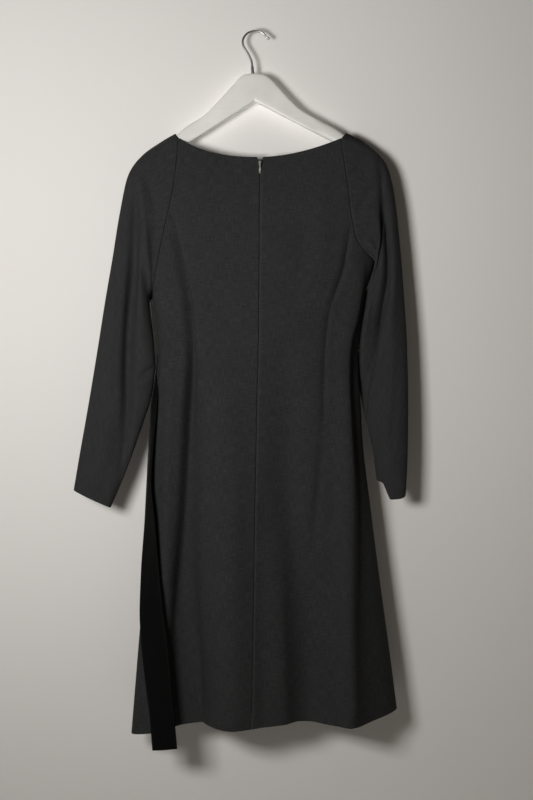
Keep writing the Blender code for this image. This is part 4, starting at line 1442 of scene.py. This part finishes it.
def build_stage():
    plaster = plaster_group()
    wall = plaster_material("warm white wall", plaster, (0.776, 0.758, 0.743), rough=0.9)
    ground = plaster_material("pale floor", plaster, (0.72, 0.70, 0.67), rough=0.8)
    low, high = (WALL_AT_HOOK - WALL_LEAN * z for z in (FLOOR, WALL_TOP))
    side, far = WALL_HALF_WIDTH, FLOOR_HALF_WIDTH
    flat_sheet(
        "backdrop",
        [(-side, low, FLOOR), (side, low, FLOOR), (side, high, WALL_TOP), (-side, high, WALL_TOP)],
        wall,
    )
    flat_sheet(
        "floor", [(-far, -far, FLOOR), (far, -far, FLOOR), (far, far, FLOOR), (-far, far, FLOOR)],
        ground,
    )
    for light in LIGHTS:
        area_light(*light)
    world = bpy.data.worlds.new("room air")
    world.use_nodes = True
    air = world.node_tree.nodes["Background"]
    air.inputs["Color"].default_value = AIR_COLOUR
    air.inputs["Strength"].default_value = AIR_STRENGTH
    scene = bpy.context.scene
    scene.world = world
    scene.view_settings.view_transform = "Standard"


def build_camera():
    """At the photograph's height and distance, level, looking along +Y."""
    lens = bpy.data.cameras.new("camera")
    lens.sensor_fit = "VERTICAL"
    lens.sensor_width = SENSOR
    lens.sensor_height = SENSOR
    lens.lens = FOCAL_PIXELS * SENSOR / PICTURE_HEIGHT
    lens.clip_start = 0.05
    lens.clip_end = 30.0
    made = bpy.data.objects.new("camera", lens)
    made.location = CAMERA_PLACE
    made.rotation_euler = (math.pi / 2, 0.0, 0.0)
    bpy.context.scene.collection.objects.link(made)
    bpy.context.scene.camera = made


def dress_piece(piece, body, slot, *nodes):
    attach(piece, body)
    if nodes:
        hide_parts(*nodes)


build_camera()
build_stage()
weave = weave_group()
brushed = brushed_group()
wool = wool_material(weave, fibre_group())
chrome = metal_material(
    "chrome wire", brushed, (0.34, 0.34, 0.35), (0.48, 0.48, 0.49), rough=0.26, scratch=0.05
)
pull_metal = metal_material(
    "zip metal", brushed, (0.60, 0.58, 0.54), (0.80, 0.78, 0.74), rough=0.22, scratch=0.3
)
slider_metal = metal_material(
    "slider metal", brushed, (0.10, 0.098, 0.095), (0.22, 0.215, 0.205), rough=0.30, scratch=0.3
)

cloths, levels, back, back_normal, middle = build_cloth(wool)
for node_name in ("back_left", "back_right", "front", "sleeve_left", "sleeve_right"):
    dress_piece(cloths[node_name + "_cloth"], "dress", "wool", node_name)
sash = build_sash(velvet_material())
dress_piece(sash, "dress", "velvet", "sash")
tapes, coil = build_zip(levels, back, back_normal, middle, tape_material(weave), coil_material())
dress_piece(tapes, "dress", "zip_tape", "zip")
dress_piece(coil, "dress", "zip_tape")
dress_piece(build_arms(paint_material()), "dress", "white_wood", "hanger")
dress_piece(build_hook(chrome), "dress", "chrome_wire", "hanger_hook")
for node_name, look in (("zip_slider", slider_metal), ("zip_pull", pull_metal)):
    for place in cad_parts[node_name].material_slots:
        place.material = look
